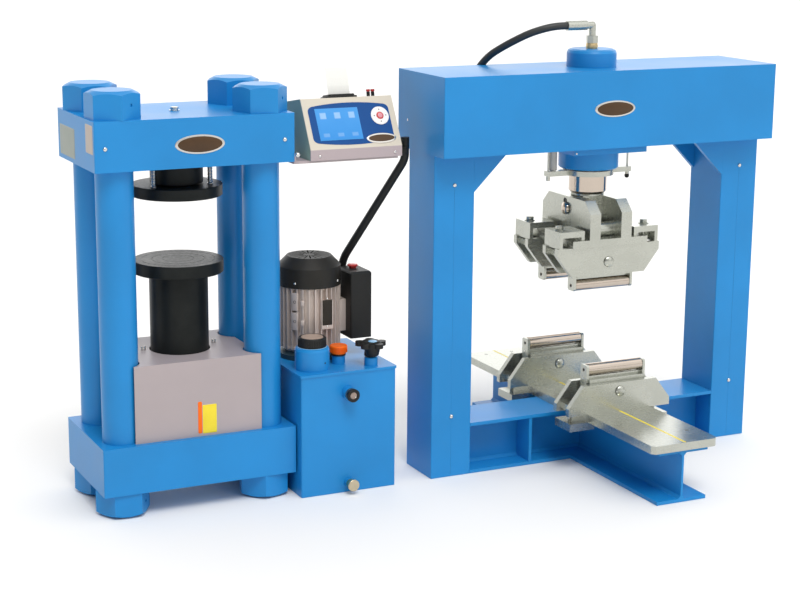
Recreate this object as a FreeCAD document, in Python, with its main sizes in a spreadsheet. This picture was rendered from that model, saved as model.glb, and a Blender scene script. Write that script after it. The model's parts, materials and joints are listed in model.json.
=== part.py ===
import FreeCAD, Part
import math
import os
import Sketcher

# Concrete testing machine: a four-column compression frame, a power pack with its
# motor, a control console and a portal frame for bending tests.
# Millimetres, +Z up. The origin lies on the floor under the middle of the machine.
# The rollers of the bending device lie along X, its bearing plate along Y.

os.makedirs("parts", exist_ok=True)
doc = FreeCAD.newDocument("concrete_testing_machine")
sheet = doc.addObject("Spreadsheet::Sheet", "Sizes")
Vector = FreeCAD.Vector
nodes = []


class Dim:
    """A size that knows its value and the sheet formula it comes from."""

    def __init__(self, value, text):
        self.value = float(value)
        self.text = text

    def __add__(self, other):
        other = as_dim(other)
        return Dim(self.value + other.value, "(%s + %s)" % (self.text, other.text))

    def __sub__(self, other):
        other = as_dim(other)
        return Dim(self.value - other.value, "(%s - %s)" % (self.text, other.text))

    def __mul__(self, other):
        other = as_dim(other)
        return Dim(self.value * other.value, "(%s * %s)" % (self.text, other.text))

    def __truediv__(self, other):
        other = as_dim(other)
        return Dim(self.value / other.value, "(%s / %s)" % (self.text, other.text))

    def __radd__(self, other):
        return as_dim(other) + self

    def __rsub__(self, other):
        return as_dim(other) - self

    def __rmul__(self, other):
        return as_dim(other) * self

    def __neg__(self):
        return as_dim(0) - self


def as_dim(item):
    if isinstance(item, Dim):
        return item
    return Dim(item, "(%s)" % repr(float(item)))


def number(item):
    return as_dim(item).value


def cosine(angle):
    return Dim(math.cos(math.radians(angle.value)), "cos(%s)" % angle.text)


def sine(angle):
    return Dim(math.sin(math.radians(angle.value)), "sin(%s)" % angle.text)


def tangent(angle):
    return Dim(math.tan(math.radians(angle.value)), "tan(%s)" % angle.text)


sheet_row = [0]


def size(name, value):
    """Write one driving dimension to the sheet and return it."""
    sheet_row[0] += 1
    row = sheet_row[0]
    sheet.set("A%d" % row, name.replace("_", " "))
    sheet.set("B%d" % row, str(value))
    sheet.setAlias("B%d" % row, name)
    return Dim(value, "Sizes." + name)


# Turns that lay a piece's own Z axis along X or Y
ALONG_Z = FreeCAD.Rotation()
ALONG_X = FreeCAD.Rotation(Vector(0, 1, 0), 90)
ALONG_Y = FreeCAD.Rotation(Vector(1, 0, 0), -90)


def new_body(label, at=(0, 0, 0), turn=ALONG_Z):
    """A sub-part's body, with its place bound to the sheet."""
    body = doc.addObject("PartDesign::Body", label)
    body.Label = label
    body.Placement = FreeCAD.Placement(Vector(), turn)
    for axis, amount in zip("xyz", at):
        body.setExpression("Placement.Base." + axis, as_dim(amount).text)
    nodes.append(body)
    return body


def new_sketch(body, role, height=None):
    """A sketch on one of the body's own origin planes, raised by a height."""
    sketch = body.newObject("Sketcher::SketchObject", body.Name + "_sketch")
    plane = [item for item in body.Origin.OriginFeatures if item.Role == role][0]
    sketch.AttachmentSupport = (plane, "")
    sketch.MapMode = "FlatFace"
    if height is not None:
        sketch.setExpression("AttachmentOffset.Base.z", as_dim(height).text)
    return sketch


def hold(sketch, geometry, position, x, y):
    """Constrain one point of the sketch to its place."""
    for kind, amount, axis in (("DistanceX", as_dim(x), -2), ("DistanceY", as_dim(y), -1)):
        if amount.text == "(0.0)":
            sketch.addConstraint(Sketcher.Constraint("PointOnObject", geometry, position, axis))
            continue
        constraint = Sketcher.Constraint(kind, -1, 1, geometry, position, amount.value)
        index = sketch.addConstraint(constraint)
        sketch.setExpression("Constraints[%d]" % index, amount.text)


def outline(sketch, points):
    """A closed outline of straight sides through bound corners."""
    first = sketch.GeometryCount
    count = len(points)
    corners = [Vector(number(x), number(y), 0) for x, y in points]
    sides = [Part.LineSegment(corners[i], corners[(i + 1) % count]) for i in range(count)]
    sketch.addGeometry(sides, False)
    sketch.addConstraint([Sketcher.Constraint("Coincident", first + i, 2, first + (i + 1) % count, 1)
                          for i in range(count)])
    for i, (x, y) in enumerate(points):
        hold(sketch, first + i, 1, x, y)


def circle(sketch, x, y, radius):
    """A circle with bound centre and radius."""
    centre = Vector(number(x), number(y), 0)
    index = sketch.addGeometry(Part.Circle(centre, Vector(0, 0, 1), number(radius)), False)
    hold(sketch, index, 3, x, y)
    constraint = sketch.addConstraint(Sketcher.Constraint("Radius", index, number(radius)))
    sketch.setExpression("Constraints[%d]" % constraint, as_dim(radius).text)


def box_points(x_low, x_high, y_low, y_high):
    return [(x_low, y_low), (x_high, y_low), (x_high, y_high), (x_low, y_high)]


def centred(width, depth):
    return box_points(-width / 2, width / 2, -depth / 2, depth / 2)


def hexagon(x, y, across, turn=0.0):
    """Corners of a hexagon of the given width across flats; turn in degrees."""
    radius = across / (2 * math.cos(math.radians(30)))
    corners = []
    for side in range(6):
        angle = math.radians(turn + 60 * side)
        corners.append((x + radius * math.cos(angle), y + radius * math.sin(angle)))
    return corners


def swept(kind, body, sketch, length, both=False, reverse=False):
    """A straight pad or pocket of a sketch."""
    feature = body.newObject(kind, body.Name + "_feature")
    feature.Profile = sketch
    feature.setExpression("Length", as_dim(length).text)
    feature.Midplane = both
    feature.Reversed = reverse
    body.Tip = feature
    return feature


def pad(body, role, shapes, length, height=None, both=False, reverse=False):
    """Pad outlines (point lists) and circles (triples) drawn on one plane."""
    sketch = new_sketch(body, role, height)
    draw(sketch, shapes)
    return swept("PartDesign::Pad", body, sketch, length, both, reverse)


def pocket(body, role, shapes, length, height=None, both=False, reverse=True):
    """Cut along the plane's normal; a second solve finds no metal if it points away."""
    sketch = new_sketch(body, role, height)
    draw(sketch, shapes)
    doc.recompute()
    before = body.Shape.Volume
    feature = swept("PartDesign::Pocket", body, sketch, length, both, reverse)
    doc.recompute()
    if body.Shape.Volume >= before - 0.001:
        raise RuntimeError("a cut misses the solid: " + body.Label)
    return feature


def draw(sketch, shapes):
    for shape in shapes:
        if isinstance(shape, tuple):
            circle(sketch, *shape)
        else:
            outline(sketch, shape)


def revolve(body, points, cut=False):
    """Turn a half profile of (radius, height) points about the body's Z axis."""
    sketch = new_sketch(body, "XZ_Plane")
    outline(sketch, points)
    kind = "PartDesign::Groove" if cut else "PartDesign::Revolution"
    feature = body.newObject(kind, body.Name + "_turned")
    feature.Profile = sketch
    feature.ReferenceAxis = (sketch, ["V_Axis"])
    feature.Angle = 360
    body.Tip = feature
    return feature


def turned(label, points, at=(0, 0, 0), turn=ALONG_Z):
    body = new_body(label, at, turn)
    revolve(body, points)
    return body


def dress(kind, body, amount, wanted):
    """Fillet or chamfer the edges of the body that the test picks."""
    doc.recompute()
    base = body.Tip
    names = ["Edge%d" % (i + 1) for i, edge in enumerate(base.Shape.Edges) if wanted(edge)]
    if not names:
        raise RuntimeError("no edge to dress on " + body.Label)
    feature = body.newObject(kind, body.Name + "_edges")
    feature.Base = (base, names)
    feature.setExpression("Radius" if "Fillet" in kind else "Size", as_dim(amount).text)
    body.Tip = feature
    return feature


def fillet(body, amount, wanted):
    return dress("PartDesign::Fillet", body, amount, wanted)


def chamfer(body, amount, wanted):
    return dress("PartDesign::Chamfer", body, amount, wanted)


def upright(edge):
    """A straight edge along the body's Z axis."""
    if not isinstance(edge.Curve, Part.Line):
        return False
    return abs(edge.tangentAt(edge.FirstParameter).z) > 0.999


def rim(height, radius=None):
    """A test for round edges at a height, of a radius if one is given."""
    def wanted(edge):
        if not isinstance(edge.Curve, Part.Circle):
            return False
        if abs(edge.CenterOfMass.z - number(height)) > 0.01:
            return False
        return radius is None or abs(edge.Curve.Radius - number(radius)) < 0.01
    return wanted


def level(height):
    """A test for straight edges that lie at a height."""
    def wanted(edge):
        if not isinstance(edge.Curve, Part.Line):
            return False
        return all(abs(vertex.Z - number(height)) < 0.01 for vertex in edge.Vertexes)
    return wanted


# Places of the three groups, and clearances that several pieces share
press_x = size("press_centre_x", -653.7)
press_y = size("press_centre_y", 103.5)
portal_x = size("portal_centre_x", 416.3)
loose = size("loose_clearance", 0.3)
running = size("running_clearance", 0.05)

# Compression frame
press_wide = size("press_width", 480)
press_deep = size("press_depth", 300)
foot_tall = size("foot_height", 60)
base_thick = size("base_thickness", 116)
press_clear = size("press_clear_height", 644)
head_thick = size("crosshead_thickness", 115)
column_dia = size("column_diameter", 88)
column_inset = size("column_inset", 62)
tail_dia = size("column_thread_diameter", 76)
nut_across = size("nut_width_across_flats", 112)
nut_tall = size("nut_height", 64)
nut_bevel = size("nut_bevel", 9)
tail_short = size("thread_end_below_nut_face", 14)
grub_dia = size("grub_screw_diameter", 8)
block_edge = size("block_edge_round", 2)

base_top = foot_tall + base_thick
head_low = base_top + press_clear
head_top = head_low + head_thick
column_across = press_wide / 2 - column_inset
column_back = press_deep / 2 - column_inset
column_spots = [(sx * column_across, sy * column_back) for sx in (-1, 1) for sy in (-1, 1)]
on_press = (press_x, press_y, 0)


def press_block(label, height, thick):
    """A thick plate with four column holes."""
    body = new_body(label, on_press)
    pad(body, "XY_Plane", [centred(press_wide, press_deep)], thick, height)
    fillet(body, block_edge, upright)
    holes = [(x, y, tail_dia / 2 + loose) for x, y in column_spots]
    pocket(body, "XY_Plane", holes, thick, height)
    return body


press_block("frame_base", foot_tall, base_thick)
press_block("crosshead", head_low, head_thick)

columns = new_body("frame_columns", on_press)
pad(columns, "XY_Plane", [(x, y, column_dia / 2) for x, y in column_spots], press_clear, base_top)
tail_low = tail_short
tail_high = head_top + nut_tall - tail_short
tails = [(x, y, tail_dia / 2) for x, y in column_spots]
pad(columns, "XY_Plane", tails, tail_high - tail_low, tail_low)


def nut_shape(x, y, low, tall, turn, face_up):
    """A hexagon nut, turned down to a cone at its free end, blind like a cap."""
    across = number(nut_across)
    corner = across / (2 * math.cos(math.radians(30)))
    bevel = number(nut_bevel)
    points = [Vector(px, py, low) for px, py in hexagon(x, y, across, turn)]
    block = Part.Face(Part.makePolygon(points + points[:1])).extrude(Vector(0, 0, tall))
    profile = [(0, 0), (corner, 0), (corner, tall - bevel), (corner - 2 * bevel, tall), (0, tall)]
    half = Part.Face(Part.makePolygon([Vector(px, 0, pz) for px, pz in profile + profile[:1]]))
    cone = half.revolve(Vector(), Vector(0, 0, 1), 360)
    if not face_up:
        cone = cone.mirror(Vector(), Vector(0, 0, 1))
        cone.translate(Vector(0, 0, tall))
    cone.translate(Vector(x, y, low))
    bore_deep = tall - number(tail_short) + 0.5
    bore_low = low if face_up else low + tall - bore_deep
    bore = Part.makeCylinder(number(tail_dia / 2 + loose), bore_deep, Vector(x, y, bore_low))
    angle = math.radians(turn + 30)
    outward = Vector(math.cos(angle), math.sin(angle), 0)
    dimple_deep = 3
    start = Vector(x, y, low + tall / 2) + outward * (across / 2 - dimple_deep)
    dimple = Part.makeCylinder(number(grub_dia) / 2, 2 * dimple_deep, start, outward)
    return block.common(cone).cut(bore).cut(dimple)


# Each nut stops where its thread is tight, so each has its own turn in degrees
head_turns = (-87.0, -63.0, -71.0, -64.0)
foot_turns = (-63.0, -70.0, -46.0, -50.0)
nut_shapes = []
for spot, head_turn, foot_turn in zip(column_spots, head_turns, foot_turns):
    place = (number(spot[0]), number(spot[1]))
    nut_shapes.append(nut_shape(*place, number(head_top), number(nut_tall), head_turn, True))
    nut_shapes.append(nut_shape(*place, 0, number(foot_tall), foot_turn, False))
column_nuts = doc.addObject("Part::Feature", "column_nuts")
column_nuts.Label = "column_nuts"
column_nuts.Shape = Part.makeCompound(nut_shapes)
for axis, amount in zip("xyz", on_press):
    column_nuts.setExpression("Placement.Base." + axis, as_dim(amount).text)
nodes.append(column_nuts)

# Compression cylinder, its ram and the lower platen
cylinder_dia = size("cylinder_diameter", 262)
cylinder_tall = size("cylinder_height", 176)
cylinder_floor = size("cylinder_floor_thickness", 30)
ram_dia = size("ram_diameter", 190)
ram_tall = size("ram_height", 96)
ram_rest = size("ram_rest_gap", 0.3)
wiper_deep = size("wiper_groove_depth", 3)
spacer_dia = size("distance_piece_diameter", 140)
platen_dia = size("platen_diameter", 216)
lower_thick = size("lower_platen_thickness", 30)
lower_top = size("lower_platen_top_height", 581)
platen_edge = size("platen_edge_bevel", 1.5)

bore_radius = ram_dia / 2 + running
bore_floor = base_top + cylinder_floor
cylinder_top = base_top + cylinder_tall
turned("cylinder_body", [
    (0, base_top), (cylinder_dia / 2, base_top), (cylinder_dia / 2, cylinder_top - 6),
    (cylinder_dia / 2 - 6, cylinder_top), (bore_radius + wiper_deep, cylinder_top),
    (bore_radius + wiper_deep, cylinder_top - 6), (bore_radius, cylinder_top - 6),
    (bore_radius, bore_floor), (0, bore_floor)], on_press)
ram_low = bore_floor + ram_rest
ram_top = ram_low + ram_tall
seal_groove = 4
turned("ram_piston", [
    (0, ram_low), (ram_dia / 2 - 3, ram_low), (ram_dia / 2, ram_low + 3),
    (ram_dia / 2, ram_low + 20), (ram_dia / 2 - seal_groove, ram_low + 20),
    (ram_dia / 2 - seal_groove, ram_low + 28), (ram_dia / 2, ram_low + 28),
    (ram_dia / 2, ram_top - 2), (ram_dia / 2 - 2, ram_top), (0, ram_top)], on_press)
lower_low = lower_top - lower_thick
turned("distance_piece", [
    (0, ram_top), (spacer_dia / 2 - 2, ram_top), (spacer_dia / 2, ram_top + 2),
    (spacer_dia / 2, lower_low - 2), (spacer_dia / 2 - 2, lower_low), (0, lower_low)], on_press)


def platen_profile(low, high):
    """A round platen with bevelled edges, shallow centring rings left to its face."""
    rim_radius = platen_dia / 2
    return [(0, low), (rim_radius - platen_edge, low), (rim_radius, low + platen_edge),
            (rim_radius, high - platen_edge), (rim_radius - platen_edge, high), (0, high)]


ring_step = size("centring_ring_step", 50)
ring_wide = size("centring_ring_width", 1.2)
ring_deep = size("centring_ring_depth", 0.8)
lower_platen = turned("lower_platen", platen_profile(lower_low, lower_top), on_press)
for ring in (1, 2, 3):
    radius = ring * ring_step / 2 + ring_step / 4
    pocket(lower_platen, "XY_Plane", [(0, 0, radius + ring_wide / 2), (0, 0, radius - ring_wide / 2)],
           ring_deep, lower_top, reverse=False)

# Sheet cover round the cylinder: a front and a back panel joined by a top with notches
cover_wide = size("cover_width", 314)
cover_tall = size("cover_height", 186)
cover_sheet = size("cover_sheet_thickness", 2)
cover_air = size("cover_column_clearance", 3)
cover_hem = size("cover_hem", 12)
cover_outer = press_deep / 2 - column_inset + column_dia / 2 + loose + cover_sheet
cover_top = base_top + cover_tall
guard = new_body("guard_cover", on_press)
pad(guard, "YZ_Plane", [[
    (-cover_outer, base_top), (-cover_outer + cover_hem, base_top),
    (-cover_outer + cover_hem, base_top + cover_sheet), (-cover_outer + cover_sheet, base_top + cover_sheet),
    (-cover_outer + cover_sheet, cover_top - cover_sheet), (cover_outer - cover_sheet, cover_top - cover_sheet),
    (cover_outer - cover_sheet, base_top + cover_sheet), (cover_outer - cover_hem, base_top + cover_sheet),
    (cover_outer - cover_hem, base_top), (cover_outer, base_top), (cover_outer, cover_top),
    (-cover_outer, cover_top)]], cover_wide, both=True)
notches = [(x, y, column_dia / 2 + cover_air) for x, y in column_spots]
pocket(guard, "XY_Plane", notches + [(0, 0, spacer_dia / 2 + cover_air)], 2 * cover_sheet,
       cover_top - 2 * cover_sheet + 0.01)
hem_notches = [(x, y, column_dia / 2 + cover_air) for x, y in column_spots]
hem_notches.append((0, 0, cylinder_dia / 2 + loose))
pocket(guard, "XY_Plane", hem_notches, 2 * cover_sheet, base_top)

# Upper platen on its ball seat; all balls turn about the middle of the platen's face
upper_low = size("upper_platen_face_height", 735.5)
upper_thick = size("upper_platen_thickness", 27)
seat_dia = size("seat_diameter", 125)
seat_air = size("seat_tilt_gap", 3.5)
ball_radius = size("ball_radius", 60)
liner_thick = size("seat_liner_thickness", 3)
liner_radius = ball_radius + running
socket_radius = liner_radius + liner_thick + running
upper_top = upper_low + upper_thick
seat_low = upper_top + seat_air


def ball(radius):
    """A full ball about the middle of the upper platen's face."""
    return Part.makeSphere(number(radius), Vector(0, 0, number(upper_low)))


def cylinder_between(radius, low, high):
    return Part.makeCylinder(number(radius), number(high) - number(low), Vector(0, 0, number(low)))


def part_feature(label, shape, at, turn=ALONG_Z):
    """A sub-part whose shape is computed, placed by the sheet."""
    item = doc.addObject("Part::Feature", label)
    item.Label = label
    item.Shape = shape
    item.Placement = FreeCAD.Placement(Vector(), turn)
    for axis, amount in zip("xyz", at):
        item.setExpression("Placement.Base." + axis, as_dim(amount).text)
    nodes.append(item)
    return item


seat_block = cylinder_between(seat_dia / 2, seat_low, head_low).cut(ball(socket_radius))
part_feature("ball_seat", seat_block, on_press)
liner_low = seat_low + 1
liner = ball(socket_radius - running).cut(ball(liner_radius))
part_feature("seat_liner", liner.common(cylinder_between(seat_dia / 2, liner_low, head_low)), on_press)
upper_disc = turned("upper_platen_disc", platen_profile(upper_low, upper_top), on_press)
doc.recompute()
nodes.remove(upper_disc)
disc_shape = upper_disc.Shape.copy()
disc_shape.Placement = FreeCAD.Placement()
crown = ball(ball_radius).common(cylinder_between(seat_dia / 2, upper_top - 1, head_low))
part_feature("upper_platen", disc_shape.fuse(crown).removeSplitter(), on_press)

# Power pack: oil tank, lid, motor, pump and what is screwed to them
pack_x = size("pack_centre_x", -285.2)
pack_y = size("pack_centre_y", 78.5)
tank_wide = size("tank_width", 250)
tank_deep = size("tank_depth", 300)
tank_tall = size("tank_height", 300)
tank_wall = size("tank_wall", 3)
tank_rim = size("tank_rim_width", 18)
lid_thick = size("lid_thickness", 6)
lid_over = size("lid_overhang", 2.5)
gauge_dia = size("gauge_boss_diameter", 33)
gauge_out = size("gauge_boss_length", 19)
gauge_tall = size("gauge_height", 252.6)
gauge_side = size("gauge_from_middle", -3)
drain_dia = size("drain_boss_diameter", 25)
drain_out = size("drain_boss_length", 10)
drain_tall = size("drain_height", 24)
on_pack = (pack_x, pack_y, 0)
lid_top = tank_tall + lid_thick
tank_front = tank_deep / 2

tank = new_body("oil_tank", on_pack)
pad(tank, "XY_Plane", [centred(tank_wide, tank_deep)], tank_tall)
pad(tank, "XZ_Plane", [(gauge_side, gauge_tall, gauge_dia / 2)], gauge_out + 1, tank_front - 1)
pad(tank, "XZ_Plane", [(0, drain_tall, drain_dia / 2)], drain_out + 1, tank_front - 1)
fillet(tank, 4, upright)
inside = centred(tank_wide - 2 * tank_wall, tank_deep - 2 * tank_wall)
pocket(tank, "XY_Plane", [inside], tank_tall - 2 * tank_wall, tank_wall)
mouth = centred(tank_wide - 2 * tank_rim, tank_deep - 2 * tank_rim)
pocket(tank, "XY_Plane", [mouth], 2 * tank_wall, tank_tall - tank_wall - 1)
gauge_bore = size("gauge_bore", 16)
drain_bore = size("drain_bore", 14)
pocket(tank, "XZ_Plane", [(gauge_side, gauge_tall, gauge_bore / 2)], gauge_out + 2 * tank_wall, tank_front - 5)
pocket(tank, "XZ_Plane", [(0, drain_tall, drain_bore / 2)], drain_out + 2 * tank_wall, tank_front - 5)

# Places on the lid, from the middle of the tank
filter_spot = (size("filter_from_middle_x", -71.5), size("filter_from_middle_y", -90))
filler_spot = (size("filler_from_middle_x", 6.5), size("filler_from_middle_y", -71))
valve_spot = (size("valve_from_middle_x", 72.5), size("valve_from_middle_y", -118))
motor_spot = (size("motor_from_middle_x", -24.5), size("motor_from_middle_y", 40))
filter_dia = size("filter_housing_diameter", 84.5)
filter_tall = size("filter_housing_height", 55)
filter_bore = size("filter_bore", 56)
neck_dia = size("filler_neck_diameter", 33)
neck_tall = size("filler_neck_height", 21)
neck_bore = size("filler_neck_bore", 22)
valve_bore = size("valve_stem_bore", 12)
pump_hole = size("pump_hole_in_lid", 60)


def on_lid(spot, height=0):
    """A place on top of the lid, or above it."""
    return (pack_x + spot[0], pack_y + spot[1], lid_top + height)


lid = new_body("tank_lid", on_pack)
pad(lid, "XY_Plane", [centred(tank_wide + 2 * lid_over, tank_deep + 2 * lid_over)], lid_thick, tank_tall)
fillet(lid, 5, upright)
pad(lid, "XY_Plane", [filler_spot + (neck_dia / 2,), valve_spot + (neck_dia / 2,)], neck_tall, lid_top)
chamfer(lid, 1.5, rim(lid_top + neck_tall))
pocket(lid, "XY_Plane", [filler_spot + (neck_bore / 2,)], neck_tall + lid_thick, tank_tall)
pocket(lid, "XY_Plane", [valve_spot + (valve_bore / 2,)], neck_tall - 4, lid_top + 4)
pocket(lid, "XY_Plane", [motor_spot + (pump_hole / 2,)], lid_thick, tank_tall)
pocket(lid, "XY_Plane", [filter_spot + (filter_bore / 2,)], lid_thick, tank_tall)

# Return filter with its screw cap
cap_dia = size("filter_cap_diameter", 68)
cap_tall = size("filter_cap_height", 24)
cap_gap = size("cap_seat_gap", 0.3)
turned("filter_housing", [
    (filter_bore / 2, 0), (filter_dia / 2, 0), (filter_dia / 2, filter_tall - 7),
    (filter_dia / 2 - 2, filter_tall - 2), (filter_dia / 2 - 6, filter_tall), (filter_bore / 2, filter_tall)], on_lid(filter_spot))
filter_cap = turned("filter_cap", [
    (0, -18), (filter_bore / 2 - running, -18), (filter_bore / 2 - running, cap_gap),
    (cap_dia / 2 - 2, cap_gap), (cap_dia / 2, cap_gap + 2), (cap_dia / 2, cap_tall - 2),
    (cap_dia / 2 - 2, cap_tall), (cap_dia / 2 - 6, cap_tall), (cap_dia / 2 - 7, cap_tall - 2),
    (0, cap_tall - 2)], on_lid(filter_spot, filter_tall))

# Filler cap and the release valve's star knob
filler_dia = size("filler_cap_diameter", 43.5)
filler_tall = size("filler_cap_height", 25)
turned("filler_cap", [
    (0, -12), (neck_bore / 2 - running, -12), (neck_bore / 2 - running, cap_gap),
    (neck_dia / 2 - 1, cap_gap), (neck_dia / 2 - 1, 4), (filler_dia / 2 - 3, 5),
    (filler_dia / 2 - 1, 20), (filler_dia / 2, 21), (filler_dia / 2, filler_tall - 2),
    (filler_dia / 2 - 2, filler_tall), (0, filler_tall)], on_lid(filler_spot, neck_tall))
knob_dia = size("star_knob_diameter", 78)
knob_tall = size("star_knob_height", 40)
knob_lobe = size("star_knob_lobe", 22)
knob_thick = size("star_knob_thickness", 15)
knob = turned("release_knob", [
    (0, -14), (valve_bore / 2 - running, -14), (valve_bore / 2 - running, 2), (15, 2), (17, 4),
    (15, 20), (23, knob_tall - knob_thick), (25, knob_tall - knob_thick + 4),
    (25, knob_tall - 3), (20, knob_tall), (0, knob_tall)], on_lid(valve_spot, neck_tall))
pad(knob, "XY_Plane", [((knob_dia - knob_lobe) / 2, 0, knob_lobe / 2)], knob_thick - 4,
    knob_tall - knob_thick + 1)
lobe = knob.Tip


def polar(body, feature, count):
    """Copies of a feature round the body's Z axis."""
    pattern = body.newObject("PartDesign::PolarPattern", body.Name + "_round")
    pattern.Originals = [feature]
    axis = [item for item in body.Origin.OriginFeatures if item.Role == "Z_Axis"][0]
    pattern.Axis = (axis, [""])
    pattern.Angle = 360
    pattern.setExpression("Occurrences", count.text)
    body.Tip = pattern
    doc.recompute()
    return pattern


polar(knob, lobe, size("star_knob_lobes", 5))

# Oil level window and drain plug on the tank's front
at_gauge = (pack_x + gauge_side, pack_y - tank_front - gauge_out, gauge_tall)
turned("level_window", [
    (0, -7), (9, -7), (9, -8), (gauge_dia / 2 - 3, -8), (gauge_dia / 2 - 1, -6), (gauge_dia / 2 - 1, 0),
    (gauge_bore / 2 - running, 0), (gauge_bore / 2 - running, 8), (0, 8)], at_gauge, ALONG_Y)
at_drain = (pack_x, pack_y - tank_front - drain_out, drain_tall)
turned("drain_plug", [
    (0, -14), (drain_dia / 2 - 3, -14), (drain_dia / 2 - 1, -12), (drain_dia / 2 - 1, 0),
    (drain_bore / 2 - running, 0), (drain_bore / 2 - running, 8), (0, 8)], at_drain, ALONG_Y)

# Motor: a finned body on a flange, a rotor on its shaft and a fan under a cowl
motor_dia = size("motor_diameter", 156)
motor_core = size("motor_core_diameter", 132)
motor_flange = size("motor_flange_diameter", 158)
flange_thick = size("motor_flange_thickness", 12)
fins_low = size("fins_low_height", 26)
fins_high = size("fins_high_height", 182)
fin_thick = size("fin_thickness", 2.6)
rotor_dia = size("rotor_diameter", 70)
air_gap = size("rotor_air_gap", 0.5)
shaft_dia = size("motor_shaft_diameter", 18)
cowl_tall = size("cowl_top_height", 254)
cowl_wall = size("cowl_wall", 1.6)
on_motor = on_lid(motor_spot)
rotor_low = fins_low + 20
rotor_high = fins_high - 24
motor = turned("motor_body", [
    (shaft_dia / 2 + running, 0), (motor_flange / 2, 0), (motor_flange / 2, flange_thick),
    (motor_core / 2 - 4, flange_thick + 6), (motor_core / 2 - 4, fins_low - 4), (motor_core / 2 + 4, fins_low),
    (motor_core / 2 + 4, fins_low + 6), (motor_core / 2, fins_low + 8), (motor_core / 2, fins_high - 6),
    (motor_core / 2 + 4, fins_high - 4), (motor_core / 2 + 4, fins_high), (shaft_dia / 2 + running, fins_high),
    (shaft_dia / 2 + running, rotor_high + 2), (rotor_dia / 2 + air_gap, rotor_high + 2),
    (rotor_dia / 2 + air_gap, rotor_low - 2), (shaft_dia / 2 + running, rotor_low - 2)], on_motor)
fin_inner = motor_core / 2 - 2
fin = pad(motor, "XY_Plane", [box_points(fin_inner, motor_dia / 2, -fin_thick / 2, fin_thick / 2)],
          fins_high - fins_low - 2, fins_low + 1)
polar(motor, fin, size("fin_count", 32))
terminal_out = size("terminal_box_reach", 82)
terminal_wide = size("terminal_box_width", 80)
terminal_low = size("terminal_box_low", 62)
terminal_tall = size("terminal_box_height", 80)
pad(motor, "XY_Plane", [box_points(motor_core / 2 - 3, terminal_out, -terminal_wide / 2, terminal_wide / 2)],
    terminal_tall, terminal_low)
# Mounting pads with lugs on the side that faces the filter
pad_wide = size("motor_pad_width", 30)
pad(motor, "XY_Plane", [box_points(0, pad_wide, -motor_dia / 2 - 3, -motor_core / 2 + 4)],
    fins_high - fins_low - 85, fins_low + 55)

shaft_low = -lid_thick - 15
shaft_high = cowl_tall - 30
turned("motor_shaft", [
    (0, shaft_low), (shaft_dia / 2, shaft_low), (shaft_dia / 2, rotor_low), (rotor_dia / 2, rotor_low),
    (rotor_dia / 2, rotor_high), (shaft_dia / 2, rotor_high), (shaft_dia / 2, shaft_high), (0, shaft_high)],
    on_motor)

fan_dia = size("fan_diameter", 132)
fan_low = fins_high + 8
fan_tall = size("fan_blade_height", 26)
fan = turned("cooling_fan", [
    (shaft_dia / 2 + running, fan_low), (fan_dia / 2, fan_low), (fan_dia / 2, fan_low + 2),
    (shaft_dia / 2 + 6, fan_low + 2), (shaft_dia / 2 + 5, fan_low + fan_tall),
    (shaft_dia / 2 + running, fan_low + fan_tall)], on_motor)
blade = pad(fan, "XY_Plane", [box_points(shaft_dia / 2 + 5, fan_dia / 2 - 1, -1, 1)], fan_tall - 1, fan_low + 1)
polar(fan, blade, size("fan_blade_count", 8))

cowl_bottom = fins_high
cowl_shoulder = size("cowl_shoulder_drop", 20)
cowl_crown = size("cowl_crown_diameter", 111)
cowl = turned("fan_cowl", [
    (motor_dia / 2 - cowl_wall, cowl_bottom - 0), (motor_dia / 2 + 0.5, cowl_bottom),
    (motor_dia / 2 + 0.5, cowl_tall - cowl_shoulder - 4), (motor_dia / 2 - 3, cowl_tall - cowl_shoulder),
    (cowl_crown / 2 + 3, cowl_tall - 3), (cowl_crown / 2, cowl_tall), (0, cowl_tall),
    (0, cowl_tall - cowl_wall), (cowl_crown / 2 - 1, cowl_tall - cowl_wall),
    (cowl_crown / 2 + 1.5, cowl_tall - 5), (motor_dia / 2 - 4.5, cowl_tall - cowl_shoulder - 1),
    (motor_dia / 2 - cowl_wall, cowl_tall - cowl_shoulder - 4)], on_motor)
slot = pocket(cowl, "XY_Plane", [box_points(14, cowl_crown / 2 - 5, -1.6, 1.6)], 3 * cowl_wall,
              cowl_tall - 2 * cowl_wall)
polar(cowl, slot, size("cowl_slot_count", 20))
foot_ring = [(motor_core / 2 + 4 + running, cowl_bottom), (motor_dia / 2 - 1, cowl_bottom),
             (motor_dia / 2 - 1, cowl_bottom + 2), (motor_core / 2 + 4 + running, cowl_bottom + 2)]
revolve(cowl, foot_ring)

# Pump under the lid, driven by the motor's shaft
pump_dia = size("pump_body_diameter", 118)
pump_tall = size("pump_body_height", 92)
pump = turned("pump_block", [
    (0, -pump_tall), (pump_dia / 2 - 8, -pump_tall), (pump_dia / 2, -pump_tall + 14), (pump_dia / 2, 0),
    (shaft_dia / 2 + running, 0), (shaft_dia / 2 + running, -26), (0, -26)],
    (pack_x + motor_spot[0], pack_y + motor_spot[1], tank_tall))
cartridge = pad(pump, "XY_Plane", [(pump_dia / 2 - 4, 0, 11)], 44, -64)
polar(pump, cartridge, size("pump_cartridge_count", 5))
strainer_dia = size("strainer_diameter", 46)
pad(pump, "XY_Plane", [(0, 0, strainer_dia / 2)], 60, -pump_tall - 60)

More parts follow.
